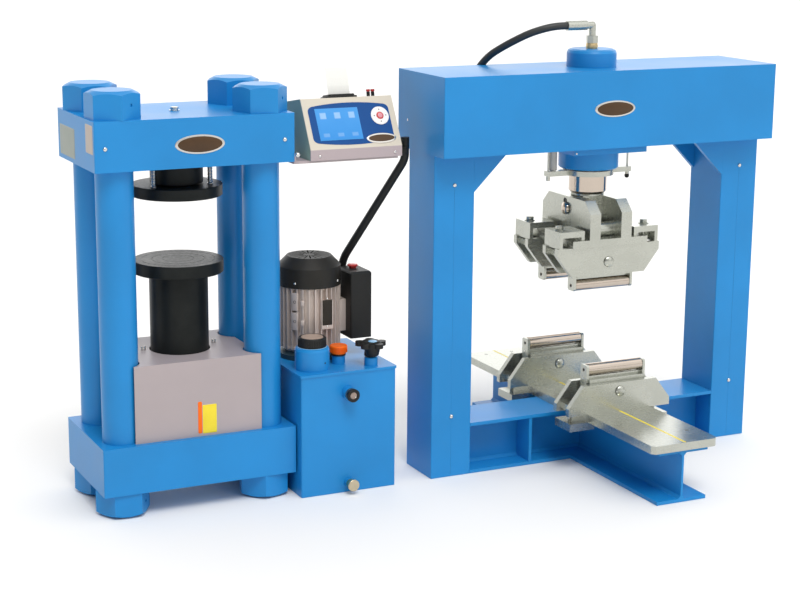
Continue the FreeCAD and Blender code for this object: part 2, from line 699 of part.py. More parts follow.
# Starter box on the terminal box, with its stop button
starter_wide = size("starter_box_width", 57)
starter_deep = size("starter_box_depth", 88)
starter_low = size("starter_box_low", 47)
starter_tall = size("starter_box_height", 168)
starter_front = size("starter_box_front", -72)
gland_out = size("conduit_gland_reach", 30)
conduit_dia = size("conduit_diameter", 20)
button_stem = size("stop_button_stem", 18)
button_dia = size("stop_button_diameter", 27)
button_travel = size("stop_button_travel", 4)
starter_x = pack_x + motor_spot[0] + terminal_out + starter_wide / 2
starter_y = pack_y + motor_spot[1] + starter_front
starter_z = lid_top + starter_low
starter = new_body("starter_box", (starter_x, starter_y, starter_z))
pad(starter, "XY_Plane", [box_points(-starter_wide / 2, starter_wide / 2, 0, starter_deep)], starter_tall)
fillet(starter, 5, upright)
chamfer(starter, 5, level(starter_tall))
button_y = size("stop_button_from_front", 54)
pocket(starter, "XY_Plane", [(0, button_y, button_stem / 2 + running)], 12, starter_tall - 12)
gland_from_middle = size("conduit_gland_from_middle", -7.4)
gland_tall = size("conduit_gland_height", 30)
gland_low = starter_tall - 81
gland_outline = box_points(gland_from_middle - 15, gland_from_middle + 15, starter_deep - 1,
                           starter_deep + gland_out)
pad(starter, "XY_Plane", [gland_outline], gland_tall, gland_low)
turned("stop_button", [
    (0, -6), (button_stem / 2, -6), (button_stem / 2, button_travel + 0.3),
    (button_dia / 2 - 1, button_travel + 0.3), (button_dia / 2, button_travel + 1.5),
    (button_dia / 2, button_travel + 4), (button_dia / 2 - 3, button_travel + 6), (0, button_travel + 7)],
    (starter_x, starter_y + button_y, starter_z + starter_tall))


# Control console on a shelf bolted to the crosshead's end
console_x = size("console_centre_x", -256)
console_y = size("console_front_y", -50)
console_z = size("console_underside_height", 819)
console_wide = size("console_width", 237)
console_deep = size("console_depth", 150)
console_skin = size("console_wall", 3)
apron_tall = size("console_apron_height", 24.8)
panel_rise = size("console_panel_rise", 113.5)
panel_lean = size("console_panel_lean", 29.5)
roof_fall = size("console_roof_fall", 9.7)
shelf_thick = size("console_shelf_thickness", 6)
on_console = (console_x, console_y, console_z)
console_tall = apron_tall + panel_rise
panel_back = panel_rise * tangent(panel_lean)
panel_long = panel_rise / cosine(panel_lean)
bend_drop = console_skin * tangent(panel_lean / 2)
top_front = panel_back + console_skin / cosine(panel_lean)
roof_skin = console_skin / cosine(roof_fall)
roof_back = console_tall - (console_deep - top_front) * tangent(roof_fall)
roof_inside = console_tall + top_front * tangent(roof_fall) - roof_skin

case = new_body("console_case", on_console)
pad(case, "YZ_Plane", [[
    (console_skin, 0), (console_deep, 0), (console_deep, roof_back), (top_front, console_tall),
    (console_skin, apron_tall - bend_drop)]], console_wide, both=True)
case_inside = [(0, console_skin), (console_deep - console_skin, console_skin),
               (console_deep - console_skin, roof_back - roof_skin + console_skin * tangent(roof_fall)),
               (0, roof_inside)]
pocket(case, "YZ_Plane", [case_inside], console_wide - 2 * console_skin, both=True)
printer_wide = size("printer_width", 68)
printer_deep = size("printer_depth", 46)
printer_from_middle = size("printer_from_middle", -5)
printer_from_front = size("printer_from_roof_edge", 7.5)
printer_lip = size("printer_lip_height", 9)
printer_inset = size("printer_flange_width", 4)
paper_wide = size("paper_width", 57)
printer_low = printer_from_front + printer_inset
printer_high = printer_from_front + printer_deep - printer_inset
printer_half = printer_wide / 2 - printer_inset
roof_turn = FreeCAD.Rotation(Vector(1, 0, 0), -roof_fall.value)


def on_roof(across, along=0):
    """A place on the console's falling roof, from the middle of its front edge."""
    return (console_x + across, console_y + top_front + along * cosine(roof_fall),
            console_z + console_tall - along * sine(roof_fall))


def roof_body(label, across, along=0):
    body = new_body(label, on_roof(across, along), roof_turn)
    body.setExpression("Placement.Rotation.Angle", "-1 * %s" % roof_fall.text)
    return body


def roof_cut(shapes):
    """Cut through the case's roof; shapes are in the roof's axes."""
    sketch = new_sketch(case, "XY_Plane")
    sketch.AttachmentSupport = None
    sketch.MapMode = "Deactivated"
    sketch.setExpression("Placement.Base.y", as_dim(top_front + sine(roof_fall)).text)
    sketch.setExpression("Placement.Base.z", as_dim(console_tall + cosine(roof_fall)).text)
    sketch.Placement = FreeCAD.Placement(Vector(), roof_turn)
    sketch.setExpression("Placement.Rotation.Angle", "-1 * %s" % roof_fall.text)
    draw(sketch, shapes)
    swept("PartDesign::Pocket", case, sketch, 2 * console_skin)
    doc.recompute()


roof_cut([box_points(printer_from_middle - printer_half, printer_from_middle + printer_half,
                     printer_low, printer_high)])

front = new_body("console_front", on_console)
pad(front, "YZ_Plane", [[
    (0, 0), (console_skin, 0), (console_skin, apron_tall - bend_drop), (top_front, console_tall),
    (panel_back, console_tall), (0, apron_tall)]], console_wide, both=True)

# The keypad lies on the leaning panel; its own Z points out of the panel
panel_turn = FreeCAD.Rotation(Vector(1, 0, 0), 90 - panel_lean.value)
on_panel = (console_x, console_y, console_z + apron_tall)


def panel_body(label):
    body = new_body(label, on_panel, panel_turn)
    body.setExpression("Placement.Rotation.Angle", "90 - %s" % panel_lean.text)
    return body


def panel_cut(body, shapes, depth, height):
    """Cut into a body from the leaning panel's plane; shapes are in panel axes."""
    sketch = new_sketch(body, "XY_Plane")
    sketch.AttachmentSupport = None
    sketch.MapMode = "Deactivated"
    sketch.setExpression("Placement.Base.y", as_dim(-height * cosine(panel_lean)).text)
    sketch.setExpression("Placement.Base.z", as_dim(apron_tall + height * sine(panel_lean)).text)
    sketch.Placement = FreeCAD.Placement(Vector(), panel_turn)
    sketch.setExpression("Placement.Rotation.Angle", "90 - %s" % panel_lean.text)
    draw(sketch, shapes)
    swept("PartDesign::Pocket", body, sketch, depth)
    doc.recompute()


film_thick = size("membrane_thickness", 1.2)
film_left = size("membrane_left", -106.4)
film_right = size("membrane_right", 103.6)
film_low = size("membrane_low", 16.4)
film_high = size("membrane_high", 109.9)
film_bow = size("membrane_bow", 7)
film_corner = size("membrane_corner", 12)
screen_left = size("display_left", -88.7)
screen_right = size("display_right", 22)
screen_low = size("display_low", 22.6)
screen_high = size("display_high", 103.8)
screen_thick = size("display_thickness", 2)
keys_x = size("keypad_centre_x", 76.6)
keys_y = size("keypad_centre_y", 79.1)
pad_dia = size("arrow_pad_diameter", 46)
sleeve_dia = size("arrow_pad_sleeve_diameter", 32)
enter_dia = size("enter_button_diameter", 18.4)
key_travel = size("key_travel", 0.8)
key_proud = size("key_rim_height", 2.8)

panel_middle = (film_left + film_right) / 2
film = panel_body("keypad_membrane")
pad(film, "XY_Plane", [[
    (film_left, film_low + film_corner), (film_left + film_corner / 2, film_low), (panel_middle - 40, film_low - film_bow),
    (panel_middle + 40, film_low - film_bow), (film_right - film_corner / 2, film_low), (film_right, film_low + film_corner),
    (film_right, film_high - film_corner), (film_right - film_corner / 2, film_high), (panel_middle + 40, film_high + film_bow),
    (panel_middle - 40, film_high + film_bow), (film_left + film_corner / 2, film_high), (film_left, film_high - film_corner)]],
    film_thick)
screen_outline = box_points(screen_left, screen_right, screen_low, screen_high)
pocket(film, "XY_Plane", [screen_outline, (keys_x, keys_y, pad_dia / 2 + loose)], 3 * film_thick, -film_thick)
screen_window = box_points(screen_left + 3, screen_right - 3, screen_low + 3, screen_high - 3)
panel_cut(front, [screen_window, (keys_x, keys_y, sleeve_dia / 2 + running)], 3 * console_skin, 2)
screen = panel_body("display")
pad(screen, "XY_Plane", [screen_outline], film_thick - 0.2)
arrow_pad = turned("arrow_pad", [
    (enter_dia / 2, -7), (sleeve_dia / 2, -7), (sleeve_dia / 2, key_travel + 0.2),
    (pad_dia / 2, key_travel + 0.2), (pad_dia / 2, key_proud - 0.8), (pad_dia / 2 - 1.5, key_proud),
    (enter_dia / 2 + 1, key_proud), (enter_dia / 2, key_proud - 0.6)], on_panel, panel_turn)
enter_button = turned("enter_button", [
    (0, -9), (enter_dia / 2 - running, -9), (enter_dia / 2 - running, key_proud),
    (enter_dia / 2 - 1.5, key_proud + 0.9), (0, key_proud + 0.9)], on_panel, panel_turn)
for key in (arrow_pad, enter_button):
    key.setExpression("Placement.Rotation.Angle", "90 - %s" % panel_lean.text)
    key.setExpression("Placement.Base.x", (console_x + keys_x).text)
    key.setExpression("Placement.Base.y", (console_y + keys_y * sine(panel_lean)).text)
    key.setExpression("Placement.Base.z", (console_z + apron_tall + keys_y * cosine(panel_lean)).text)

# Printer in the console's top, its paper strip and two binding posts
paper_out = size("paper_length_out", 70)
paper_thick = size("paper_thickness", 0.4)
printer = roof_body("printer", printer_from_middle)
pad(printer, "XY_Plane", [box_points(-printer_wide / 2, printer_wide / 2, printer_from_front,
                                     printer_from_front + printer_deep)], printer_lip)
fillet(printer, 6, upright)
fillet(printer, 3, level(printer_lip))
pad(printer, "XY_Plane", [box_points(-printer_half + loose, printer_half - loose, printer_low + loose,
                                     printer_high - loose)], 42, -41)
slot_y = printer_from_front + 19
pocket(printer, "XY_Plane", [box_points(-paper_wide / 2 - 1, paper_wide / 2 + 1, slot_y - 1.5, slot_y + 4)],
       printer_lip + 20, -20)
paper = roof_body("paper_strip", printer_from_middle, slot_y)
curl = [(0, -20), (0, printer_lip), (1, printer_lip + 20), (4, printer_lip + 40), (9, printer_lip + paper_out - 6)]
pad(paper, "YZ_Plane", [curl + [(y + paper_thick, z) for y, z in reversed(curl)]], paper_wide, both=True)
post_step = size("terminal_spacing", 12)
post_tall = size("terminal_height", 19.5)
posts_across = size("terminals_from_middle", 96)
posts_along = size("terminals_from_roof_edge", 66)
posts = roof_body("console_terminals", posts_across, posts_along)
for side in (-1, 1):
    pad(posts, "XY_Plane", [(side * post_step / 2, 0, 3)], post_tall, -3)
    pad(posts, "XY_Plane", [(side * post_step / 2, 0, 5)], 5, post_tall - 5)
roof_cut([(posts_across + side * post_step / 2, posts_along, 3 + loose) for side in (-1, 1)])

crosshead_end = press_x + press_wide / 2
bracket_deep = size("console_bracket_depth", 120)
bracket_back = size("console_bracket_from_front", 10)
bracket_tall = size("console_bracket_flange_height", 19)
bracket = new_body("console_bracket", (crosshead_end, console_y + bracket_back, console_z - shelf_thick))
bracket_long = size("console_bracket_length", 270)
pad(bracket, "XY_Plane", [box_points(0, bracket_long, 0, bracket_deep)], shelf_thick)
pad(bracket, "XY_Plane", [box_points(0, shelf_thick, 0, bracket_deep)], bracket_tall, shelf_thick - 1)

# Cable conduit from the starter box's gland up to the console's side
gland_x = starter_x + gland_from_middle
gland_y = starter_y + starter_deep + gland_out / 2 + 1.4
gland_z = starter_z + gland_low + gland_tall
conduit_points = [Vector(number(gland_x), number(gland_y), number(gland_z)),
                  Vector(number(gland_x), number(gland_y), 530), Vector(-99, 13, 800),
                  Vector(-99, 13, 837)]
elbow_tall = size("conduit_elbow_height", 17)
elbow_arm_dia = size("conduit_elbow_arm_diameter", 13)
console_side = number(console_x + console_wide / 2)


def rounded_route(points, radii):
    """Straight runs joined by tangent arcs."""
    pieces = []
    start = points[0]
    for before, corner, after, radius in zip(points, points[1:], points[2:], radii):
        inward = (corner - before).normalize()
        outward = (after - corner).normalize()
        half = inward.getAngle(outward) / 2
        reach = radius * math.tan(half)
        first = corner - inward * reach
        last = corner + outward * reach
        centre_way = (outward - inward).normalize()
        middle = corner + centre_way * (radius / math.cos(half) - radius)
        pieces.append(Part.LineSegment(start, first))
        pieces.append(Part.Arc(first, middle, last))
        start = last
    pieces.append(Part.LineSegment(start, points[-1]))
    return Part.Wire([piece.toShape() for piece in pieces])


def tube(points, radius):
    """A round tube along a route, each bend as wide as its shorter run allows."""
    radii = []
    for before, corner, after in zip(points, points[1:], points[2:]):
        inward = corner - before
        outward = after - corner
        shorter = min(inward.Length, outward.Length)
        radii.append(0.45 * shorter / math.tan(inward.getAngle(outward) / 2))
    wire = rounded_route(points, radii)
    profile = Part.Wire([Part.Circle(points[0], points[1] - points[0], radius).toShape()])
    solid = wire.makePipeShell([profile], True, False)
    print("bends", [round(item, 1) for item in radii], "volume ratio",
          round(solid.Volume / (math.pi * radius * radius * wire.Length), 4), "length", round(wire.Length, 1))
    return solid


conduit_radius = number(conduit_dia) / 2
elbow_at = conduit_points[-1]
elbow = Part.makeSphere(conduit_radius, elbow_at)
elbow = elbow.fuse(Part.makeCylinder(conduit_radius, number(elbow_tall), elbow_at))
arm_at = elbow_at + Vector(0, 0, number(elbow_tall) - 8)
arm_reach = elbow_at.x - console_side
arm = Part.makeCylinder(number(elbow_arm_dia) / 2, arm_reach, arm_at, Vector(-1, 0, 0))
conduit = tube(conduit_points, conduit_radius).fuse([elbow, arm]).removeSplitter()
part_feature("cable_conduit", conduit, (0, 0, 0))

# Portal frame: two columns, a hollow top beam and a cross of rolled beams
portal_wide = size("portal_width", 960)
beam_deep = size("top_beam_depth", 254)
beam_low = size("top_beam_underside", 817)
beam_tall = size("top_beam_height", 193)
beam_wall = size("top_beam_wall", 15)
post_wide = size("portal_column_width", 110)
post_deep = size("portal_column_depth", 140)
post_wall = size("portal_column_wall", 10)
post_inset = size("portal_column_inset", 4)
gusset = size("gusset_side", 95)
gusset_thick = size("gusset_thickness", 12)
body_dia = size("flexure_cylinder_diameter", 153)
cap_top = size("flexure_cylinder_top", 1054)
neck_over_dia = size("flexure_cylinder_neck_diameter", 126)
rod_across = size("guide_rod_from_middle", 118)
rod_dia = size("guide_rod_diameter", 5)
on_portal = (portal_x, 0, 0)
beam_top = beam_low + beam_tall

top_beam = new_body("top_beam", on_portal)
pad(top_beam, "XY_Plane", [centred(portal_wide, beam_deep)], beam_tall, beam_low)
fillet(top_beam, 2, upright)
hollow = box_points(beam_wall - beam_deep / 2, beam_deep / 2 - beam_wall, beam_low + beam_wall, beam_top - beam_wall)
pocket(top_beam, "YZ_Plane", [hollow], portal_wide - 2 * beam_wall, both=True)
pocket(top_beam, "XY_Plane", [
    (0, 0, body_dia / 2 + loose), (rod_across, 0, rod_dia / 2 + loose), (-rod_across, 0, rod_dia / 2 + loose)],
    beam_wall + 2, beam_low - 1)
pocket(top_beam, "XY_Plane", [(0, 0, neck_over_dia / 2 + loose)], beam_wall + 2, beam_top - beam_wall - 1)

post_out = portal_wide / 2 - post_inset
post_in = post_out - post_wide
posts_body = new_body("portal_columns", on_portal)
post_outlines = [box_points(post_in, post_out, -post_deep / 2, post_deep / 2),
                 box_points(-post_out, -post_in, -post_deep / 2, post_deep / 2)]
pad(posts_body, "XY_Plane", post_outlines, beam_low)
fillet(posts_body, 2, upright)
post_cores = [box_points(post_in + post_wall, post_out - post_wall, post_wall - post_deep / 2, post_deep / 2 - post_wall),
              box_points(post_wall - post_out, -post_in - post_wall, post_wall - post_deep / 2, post_deep / 2 - post_wall)]
pocket(posts_body, "XY_Plane", post_cores, beam_low - 2 * post_wall, post_wall)
corner_left = [(1 - post_in - 2, beam_low - gusset), (1 - post_in - 2, beam_low), (gusset - post_in, beam_low),
               (-post_in, beam_low - gusset)]
corner_right = [(-x, z) for x, z in corner_left]
for side in (-1, 1):
    back = side * (post_deep / 2 - gusset_thick / 2) + gusset_thick / 2
    pad(posts_body, "XZ_Plane", [corner_left, corner_right], gusset_thick, -back)

girder_tall = size("girder_height", 133)
girder_wide = size("girder_width", 140)
girder_flange = size("girder_flange", 8.5)
girder_web = size("girder_web", 5.5)
bearer_long = size("bearer_length", 950)
rib_thick = size("rib_thickness", 8)
rib_out = size("rib_from_middle", 190)


def girder_outline():
    """A rolled section with wide flanges, standing on the floor."""
    half = girder_wide / 2
    web = girder_web / 2
    low = girder_flange
    high = girder_tall - girder_flange
    root = 7
    right = [(half, 0), (half, low), (web + root, low), (web, low + root), (web, high - root),
             (web + root, high), (half, high), (half, girder_tall)]
    return right + [(-x, z) for x, z in reversed(right)]


girders = new_body("base_beams", on_portal)
pad(girders, "XZ_Plane", [girder_outline()], bearer_long, both=True)
pad(girders, "YZ_Plane", [girder_outline()], 2 * post_in, both=True)
for spot in (-rib_out, rib_out):
    ribs = [box_points(spot - rib_thick / 2, spot + rib_thick / 2, side_low, side_high)
            for side_low, side_high in ((2 - girder_wide / 2, -1), (1, girder_wide / 2 - 2))]
    pad(girders, "XY_Plane", ribs, girder_tall - girder_flange - 2, girder_flange - 1)

plate_wide = size("bearing_plate_width", 187)
plate_long = size("bearing_plate_length", 967)
plate_thick = size("bearing_plate_thickness", 20)
plate = new_body("bearing_plate", (portal_x, 0, girder_tall))
pad(plate, "XY_Plane", [centred(plate_wide, plate_long)], plate_thick)
chamfer(plate, size("bearing_plate_corner", 9), upright)
plate_top = girder_tall + plate_thick

# Flexure cylinder with its ram, guide yoke and head
bore_dia = size("flexure_bore_diameter", 96)
body_low = size("flexure_cylinder_underside", 753)
bore_top = size("flexure_bore_top", 881)
flange_side = size("flexure_flange_side", 212)
flange_deep = size("flexure_flange_thickness", 17)
port_dia = size("oil_port_diameter", 12)
cylinder = new_body("flexure_cylinder", on_portal)
inner_top = beam_top - beam_wall
revolve(cylinder, [
    (bore_dia / 2 + running, body_low), (body_dia / 2 - 3, body_low), (body_dia / 2, body_low + 3),
    (body_dia / 2, inner_top), (neck_over_dia / 2, inner_top), (neck_over_dia / 2, cap_top - 9),
    (neck_over_dia / 2 - 3, cap_top - 3), (neck_over_dia / 2 - 10, cap_top), (0, cap_top), (0, bore_top),
    (bore_dia / 2 + running, bore_top)])
pad(cylinder, "XY_Plane", [centred(flange_side, flange_side), (0, 0, bore_dia / 2 + running)], flange_deep,
    beam_low - flange_deep)

head_dia = size("flexure_ram_diameter", 97)
head_low_z = size("flexure_ram_foot_height", 687.5)
yoke_low = size("yoke_underside_height", 735.5)
yoke_thick = size("yoke_thickness", 13)
turned("flexure_ram", [
    (0, head_low_z), (head_dia / 2 - 6, head_low_z), (head_dia / 2, head_low_z + 7), (head_dia / 2, yoke_low),
    (bore_dia / 2, yoke_low), (bore_dia / 2, bore_top - 3), (bore_dia / 2 - 2, bore_top - 1), (0, bore_top - 1)],
    on_portal)

yoke_long = size("yoke_length", 246)
yoke_deep = size("yoke_depth", 23)
yoke_ring_dia = size("yoke_ring_diameter", 130)
rod_nut_dia = size("guide_rod_nut_diameter", 10)
rod_top = size("guide_rod_top", 960)
yoke = new_body("ram_yoke", (portal_x, 0, yoke_low))
pad(yoke, "XY_Plane", [centred(yoke_long, yoke_deep)], yoke_thick)
pad(yoke, "XY_Plane", [(0, 0, yoke_ring_dia / 2)], yoke_thick)
pocket(yoke, "XY_Plane", [(0, 0, bore_dia / 2 + running)], yoke_thick + 2, -1)
rods = [(side * rod_across, 0, rod_dia / 2) for side in (-1, 1)]
pad(yoke, "XY_Plane", rods, rod_top - yoke_low, 1)
rod_nuts = [(side * rod_across, 0, rod_nut_dia / 2) for side in (-1, 1)]
pad(yoke, "XY_Plane", rod_nuts, 13, -12)

cheek_in = size("cheek_inner_face", 30.5)
cheek_thick = size("cheek_thickness", 31)
rail_low = size("rail_underside_height", 568)
rail_thick = size("rail_thickness", 18)
rail_wide = size("rail_width", 220)
rocker_long = size("rocker_length", 238)
cheek_top = size("cheek_top_height", 681)
cheek_corner = size("cheek_corner", 30)
pivot_dia = size("rocker_pivot_diameter", 17)
pivot_z = size("rocker_pivot_height", 650)
spacer_rod_dia = size("spacer_rod_diameter", 37)
spacer_out = size("spacer_rod_from_middle", 72)
spacer_z = size("spacer_rod_height", 603)
rock_gap = size("rocker_gap", 2.5)
block_low = size("head_block_underside", 612)
block_deep = size("head_block_depth", 60)
on_pivot = (portal_x, 0, pivot_z)

head = new_body("ram_head", on_pivot)
pad(head, "XY_Plane", [(0, 0, head_dia / 2 - 6)], head_low_z - cheek_top - rock_gap, cheek_top + rock_gap - pivot_z)
block = centred(2 * (cheek_in - loose), block_deep)
pad(head, "XY_Plane", [block], cheek_top + rock_gap + 1 - block_low, block_low - pivot_z)
fillet(head, 8, level(block_low - pivot_z))
cheek_out = cheek_in + cheek_thick
pad(head, "YZ_Plane", [(0, 0, pivot_dia / 2)], 2 * cheek_out + 8, both=True)

rocker = new_body("rocker_beam", on_pivot)
half_long = rocker_long / 2
cheek_side = [(-half_long, rail_low + 1 - pivot_z), (half_long, rail_low + 1 - pivot_z),
              (half_long, cheek_top - cheek_corner - pivot_z), (half_long - cheek_corner, cheek_top - pivot_z),
              (cheek_corner - half_long, cheek_top - pivot_z), (-half_long, cheek_top - cheek_corner - pivot_z)]
pad(rocker, "YZ_Plane", [cheek_side], 2 * cheek_out, both=True)
pocket(rocker, "YZ_Plane", [box_points(-half_long - 1, half_long + 1, rail_low + rail_thick - pivot_z,
                                       cheek_top + 1 - pivot_z)], 2 * cheek_in, both=True)
pocket(rocker, "YZ_Plane", [(0, 0, pivot_dia / 2 + running)], 2 * cheek_out + 2, both=True)
pad(rocker, "YZ_Plane", [(side * spacer_out, spacer_z - pivot_z, spacer_rod_dia / 2) for side in (-1, 1)],
    2 * cheek_in + 2, both=True)
pad(rocker, "XY_Plane", [centred(rail_wide, rocker_long)], rail_thick, rail_low - pivot_z)

# Roller units: side plates with clamps, a rocking carrier on a pin, and a roller
unit_wide = size("unit_width", 300)
unit_tall = size("unit_height", 75)
unit_straight = size("unit_straight_side", 20)
unit_narrow = size("unit_narrow_width", 214)
side_thick = size("unit_side_thickness", 15)
unit_gap = size("unit_gap", 45)
pin_dia = size("unit_pin_diameter", 22)
clamp_in = size("clamp_inner_edge", 73)
clamp_out = size("clamp_outer_edge", 145)
clamp_thick = size("clamp_thickness", 24)
foot_thick = size("foot_clamp_thickness", 20)
bolt_out = size("clamp_bolt_from_middle", 125)
bolt_dia = size("clamp_bolt_diameter", 10)
tie_thick = size("tie_bar_thickness", 15)
upper_pin = size("upper_pin_below_rail", 42)
lower_pin = size("lower_pin_above_plate", 52)
carrier_deep = size("carrier_depth", 43)
cheek_plate = size("carrier_end_plate_thickness", 6)
cheek_plate_deep = size("carrier_end_plate_depth", 30)
roller_dia = size("roller_diameter", 30)
roller_gap = size("roller_gap_to_bar", 8)
clamp_lift = size("clamp_bar_lift", 9)
clamp_foot = size("clamp_foot_width", 9)
roller_long = size("roller_length", 160)
axle_dia = size("roller_axle_diameter", 10)
upper_span = size("upper_roller_from_middle", 75)
lower_span = size("lower_roller_from_middle", 150)
upper_drop = size("upper_roller_below_pin", 62)
lower_rise = size("lower_roller_above_pin", 56)
unit_half = unit_gap / 2 + side_thick


def unit_frame(body, middle_y, base, up, clamp_low, clamp_high, pin_height):
    """One unit's two side plates, tie bars, bolts and clamp bars as a solid."""
    sides = [(-unit_wide / 2, base), (-unit_wide / 2, base + up * unit_straight),
             (-unit_narrow / 2, base + up * unit_tall), (unit_narrow / 2, base + up * unit_tall),
             (unit_wide / 2, base + up * unit_straight), (unit_wide / 2, base)]
    pin_hole = (0, base + up * pin_height, pin_dia / 2 + running)
    for side in (-1, 1):
        low = middle_y + side * (unit_gap / 2 + side_thick / 2) - side_thick / 2
        pad(body, "XZ_Plane", [sides, pin_hole], side_thick, -low - side_thick)
    reach = clamp_high - clamp_low
    for side in (-1, 1):
        spread = (clamp_in + clamp_out) / 2 * side
        half = (clamp_out - clamp_in) / 2
        bar = box_points(spread - half, spread + half, middle_y - unit_half, middle_y + unit_half)
        if up > 0:
            pad(body, "XY_Plane", [bar], reach, clamp_low)
        else:
            near_edge, far_edge = middle_y - unit_half, middle_y + unit_half
            feet = [sorted((side * edge, side * (edge + way * clamp_foot)), key=number)
                    for edge, way in ((clamp_in, 1), (clamp_out, -1))]
            pad(body, "XY_Plane", [bar], reach - clamp_lift, clamp_low + clamp_lift)
            pad(body, "XY_Plane", [box_points(*feet[0], near_edge, far_edge)], clamp_lift + 1, clamp_low)
            pad(body, "XY_Plane", [box_points(*feet[1], near_edge, far_edge)], clamp_high - 1, base - 1)
        tie = box_points(bolt_out * side - 11, bolt_out * side + 11, middle_y - unit_gap / 2 - 1,
                         middle_y + unit_gap / 2 + 1)
        tie_low = base + up * 8 if up > 0 else base - 8 - tie_thick
        pad(body, "XY_Plane", [tie], tie_thick, tie_low)
        if up > 0:
            pad(body, "XY_Plane", [(bolt_out * side, middle_y, bolt_dia / 2)],
                tie_low - clamp_low + 10, clamp_low - 4)
        else:
            pad(body, "XY_Plane", [(bolt_out * side, middle_y, bolt_dia / 2)],
                clamp_high - tie_low + 6, tie_low + 2)


def roller_carrier(label, at, up, reach, top_reach):
    """A bar that rocks on its pin, with two end plates that hold a roller."""
    body = new_body(label, at)
    near = reach - roller_dia / 2 - roller_gap
    far = reach + roller_dia / 2 - 2
    half = roller_long / 2 + 1
    bar = [(-half, -up * top_reach), (half, -up * top_reach), (half, up * near), (-half, up * near)]
    pad(body, "XZ_Plane", [bar], carrier_deep, both=True)
    pad(body, "XZ_Plane", [(0, 0, pin_dia / 2)], 2 * unit_half + 3, both=True)
    for side in (-1, 1):
        middle = (half + cheek_plate / 2 - 0.5) * side
        low = middle - cheek_plate / 2 - 0.5
        deep = cheek_plate_deep / 2
        face = [(-deep, -up * (top_reach - 3)), (deep, -up * (top_reach - 3)), (deep, up * (far - 4)),
                (deep - 4, up * far), (4 - deep, up * far), (-deep, up * (far - 4))]
        pad(body, "YZ_Plane", [face, (0, up * reach, axle_dia / 2 + running)], cheek_plate + 1, low)
    return body


def roller(label, at):
    """A ground roller with short axle ends."""
    half = roller_long / 2
    axle_half = half + cheek_plate
    return turned(label, [
        (0, -axle_half), (axle_dia / 2, -axle_half), (axle_dia / 2, -half), (roller_dia / 2 - 1, -half),
        (roller_dia / 2, 1 - half), (roller_dia / 2, half - 1), (roller_dia / 2 - 1, half),
        (axle_dia / 2, half), (axle_dia / 2, axle_half), (0, axle_half)], at, ALONG_X)


uppers = new_body("upper_roller_frames", (portal_x, 0, rail_low))
for side in (-1, 1):
    unit_frame(uppers, side * upper_span, as_dim(0), -1, rail_thick, rail_thick + clamp_thick, upper_pin)
for label, side in (("lower_front_support", -1), ("lower_rear_support", 1)):
    support = new_body(label, (portal_x, side * lower_span, plate_top))
    unit_frame(support, as_dim(0), as_dim(0), 1, -plate_thick - foot_thick, -plate_thick, lower_pin)
pin_upper_z = rail_low - upper_pin
pin_lower_z = plate_top + lower_pin
for name, side in (("front", -1), ("rear", 1)):
    upper_at = (portal_x, side * upper_span, pin_upper_z)
    lower_at = (portal_x, side * lower_span, pin_lower_z)
    roller_carrier("upper_%s_carrier" % name, upper_at, -1, upper_drop, 18)
    roller_carrier("lower_%s_carrier" % name, lower_at, 1, lower_rise, 26)
    roller("upper_%s_roller" % name, (upper_at[0], upper_at[1], pin_upper_z - upper_drop))
    roller("lower_%s_roller" % name, (lower_at[0], lower_at[1], pin_lower_z + lower_rise))

# Pressure hose of the flexure cylinder with its fittings
hose_dia = size("hose_diameter", 18.5)
fitting_x = number(portal_x)
fitting_axis = 1112.5
fitting_low = number(cap_top)
ferrule_end = 341
stack = Part.makeCylinder(14, 15, Vector(fitting_x, 0, fitting_low))
nut_points = [Vector(x, y, fitting_low + 15) for x, y in hexagon(fitting_x, 0, 27, 10)]
stack = stack.fuse(Part.Face(Part.makePolygon(nut_points + nut_points[:1])).extrude(Vector(0, 0, 18)))
stack = stack.fuse(Part.makeCylinder(9, fitting_axis - fitting_low - 33, Vector(fitting_x, 0, fitting_low + 33)))
stack = stack.fuse(Part.makeSphere(9, Vector(fitting_x, 0, fitting_axis)))
stack = stack.fuse(Part.makeCylinder(9, 22, Vector(fitting_x, 0, fitting_axis), Vector(-1, 0, 0)))
hex_x = fitting_x - 18
ferrule = Part.makeCylinder(12, hex_x - ferrule_end, Vector(hex_x, 0, fitting_axis), Vector(-1, 0, 0))
hose_radius = number(hose_dia) / 2
socket = Part.makeCylinder(hose_radius, 30, Vector(ferrule_end, 0, fitting_axis), Vector(1, 0, 0))
stack = stack.fuse(ferrule).cut(socket)
# The lower end screws into a coupling on the left column's back
post_back = number(post_deep) / 2
lower_x = 35
lower_y = 98.3
lower_z = 330
coupling = Part.makeCylinder(13, 44, Vector(lower_x, lower_y, lower_z - 34))
bracket_half = 17
bracket_at = Vector(lower_x - bracket_half, post_back, lower_z - 30)
coupling = coupling.fuse(Part.makeBox(2 * bracket_half, lower_y - post_back + 16, 8, bracket_at))
wall_at = Vector(lower_x - bracket_half, post_back, lower_z - 60)
coupling = coupling.fuse(Part.makeBox(2 * bracket_half, 6, 50, wall_at))
coupling = coupling.cut(Part.makeCylinder(hose_radius, 40, Vector(lower_x, lower_y, lower_z)))
part_feature("hose_fitting", Part.makeCompound([stack, coupling]), (0, 0, 0))
hose_points = [
    Vector(ferrule_end + 28, 0, fitting_axis), Vector(303, 0, fitting_axis), Vector(252, 25, 1096),
    Vector(208, 60, 1067), Vector(179, 112, 1033), Vector(160, 148, 985), Vector(132, 154, 905),
    Vector(104, 148, 815), Vector(82, 134, 720), Vector(66, 121, 620), Vector(52, 109, 520),
    Vector(41, 100, 425), Vector(lower_x, lower_y, lower_z)]
part_feature("pressure_hose", tube(hose_points, hose_radius), (0, 0, 0))



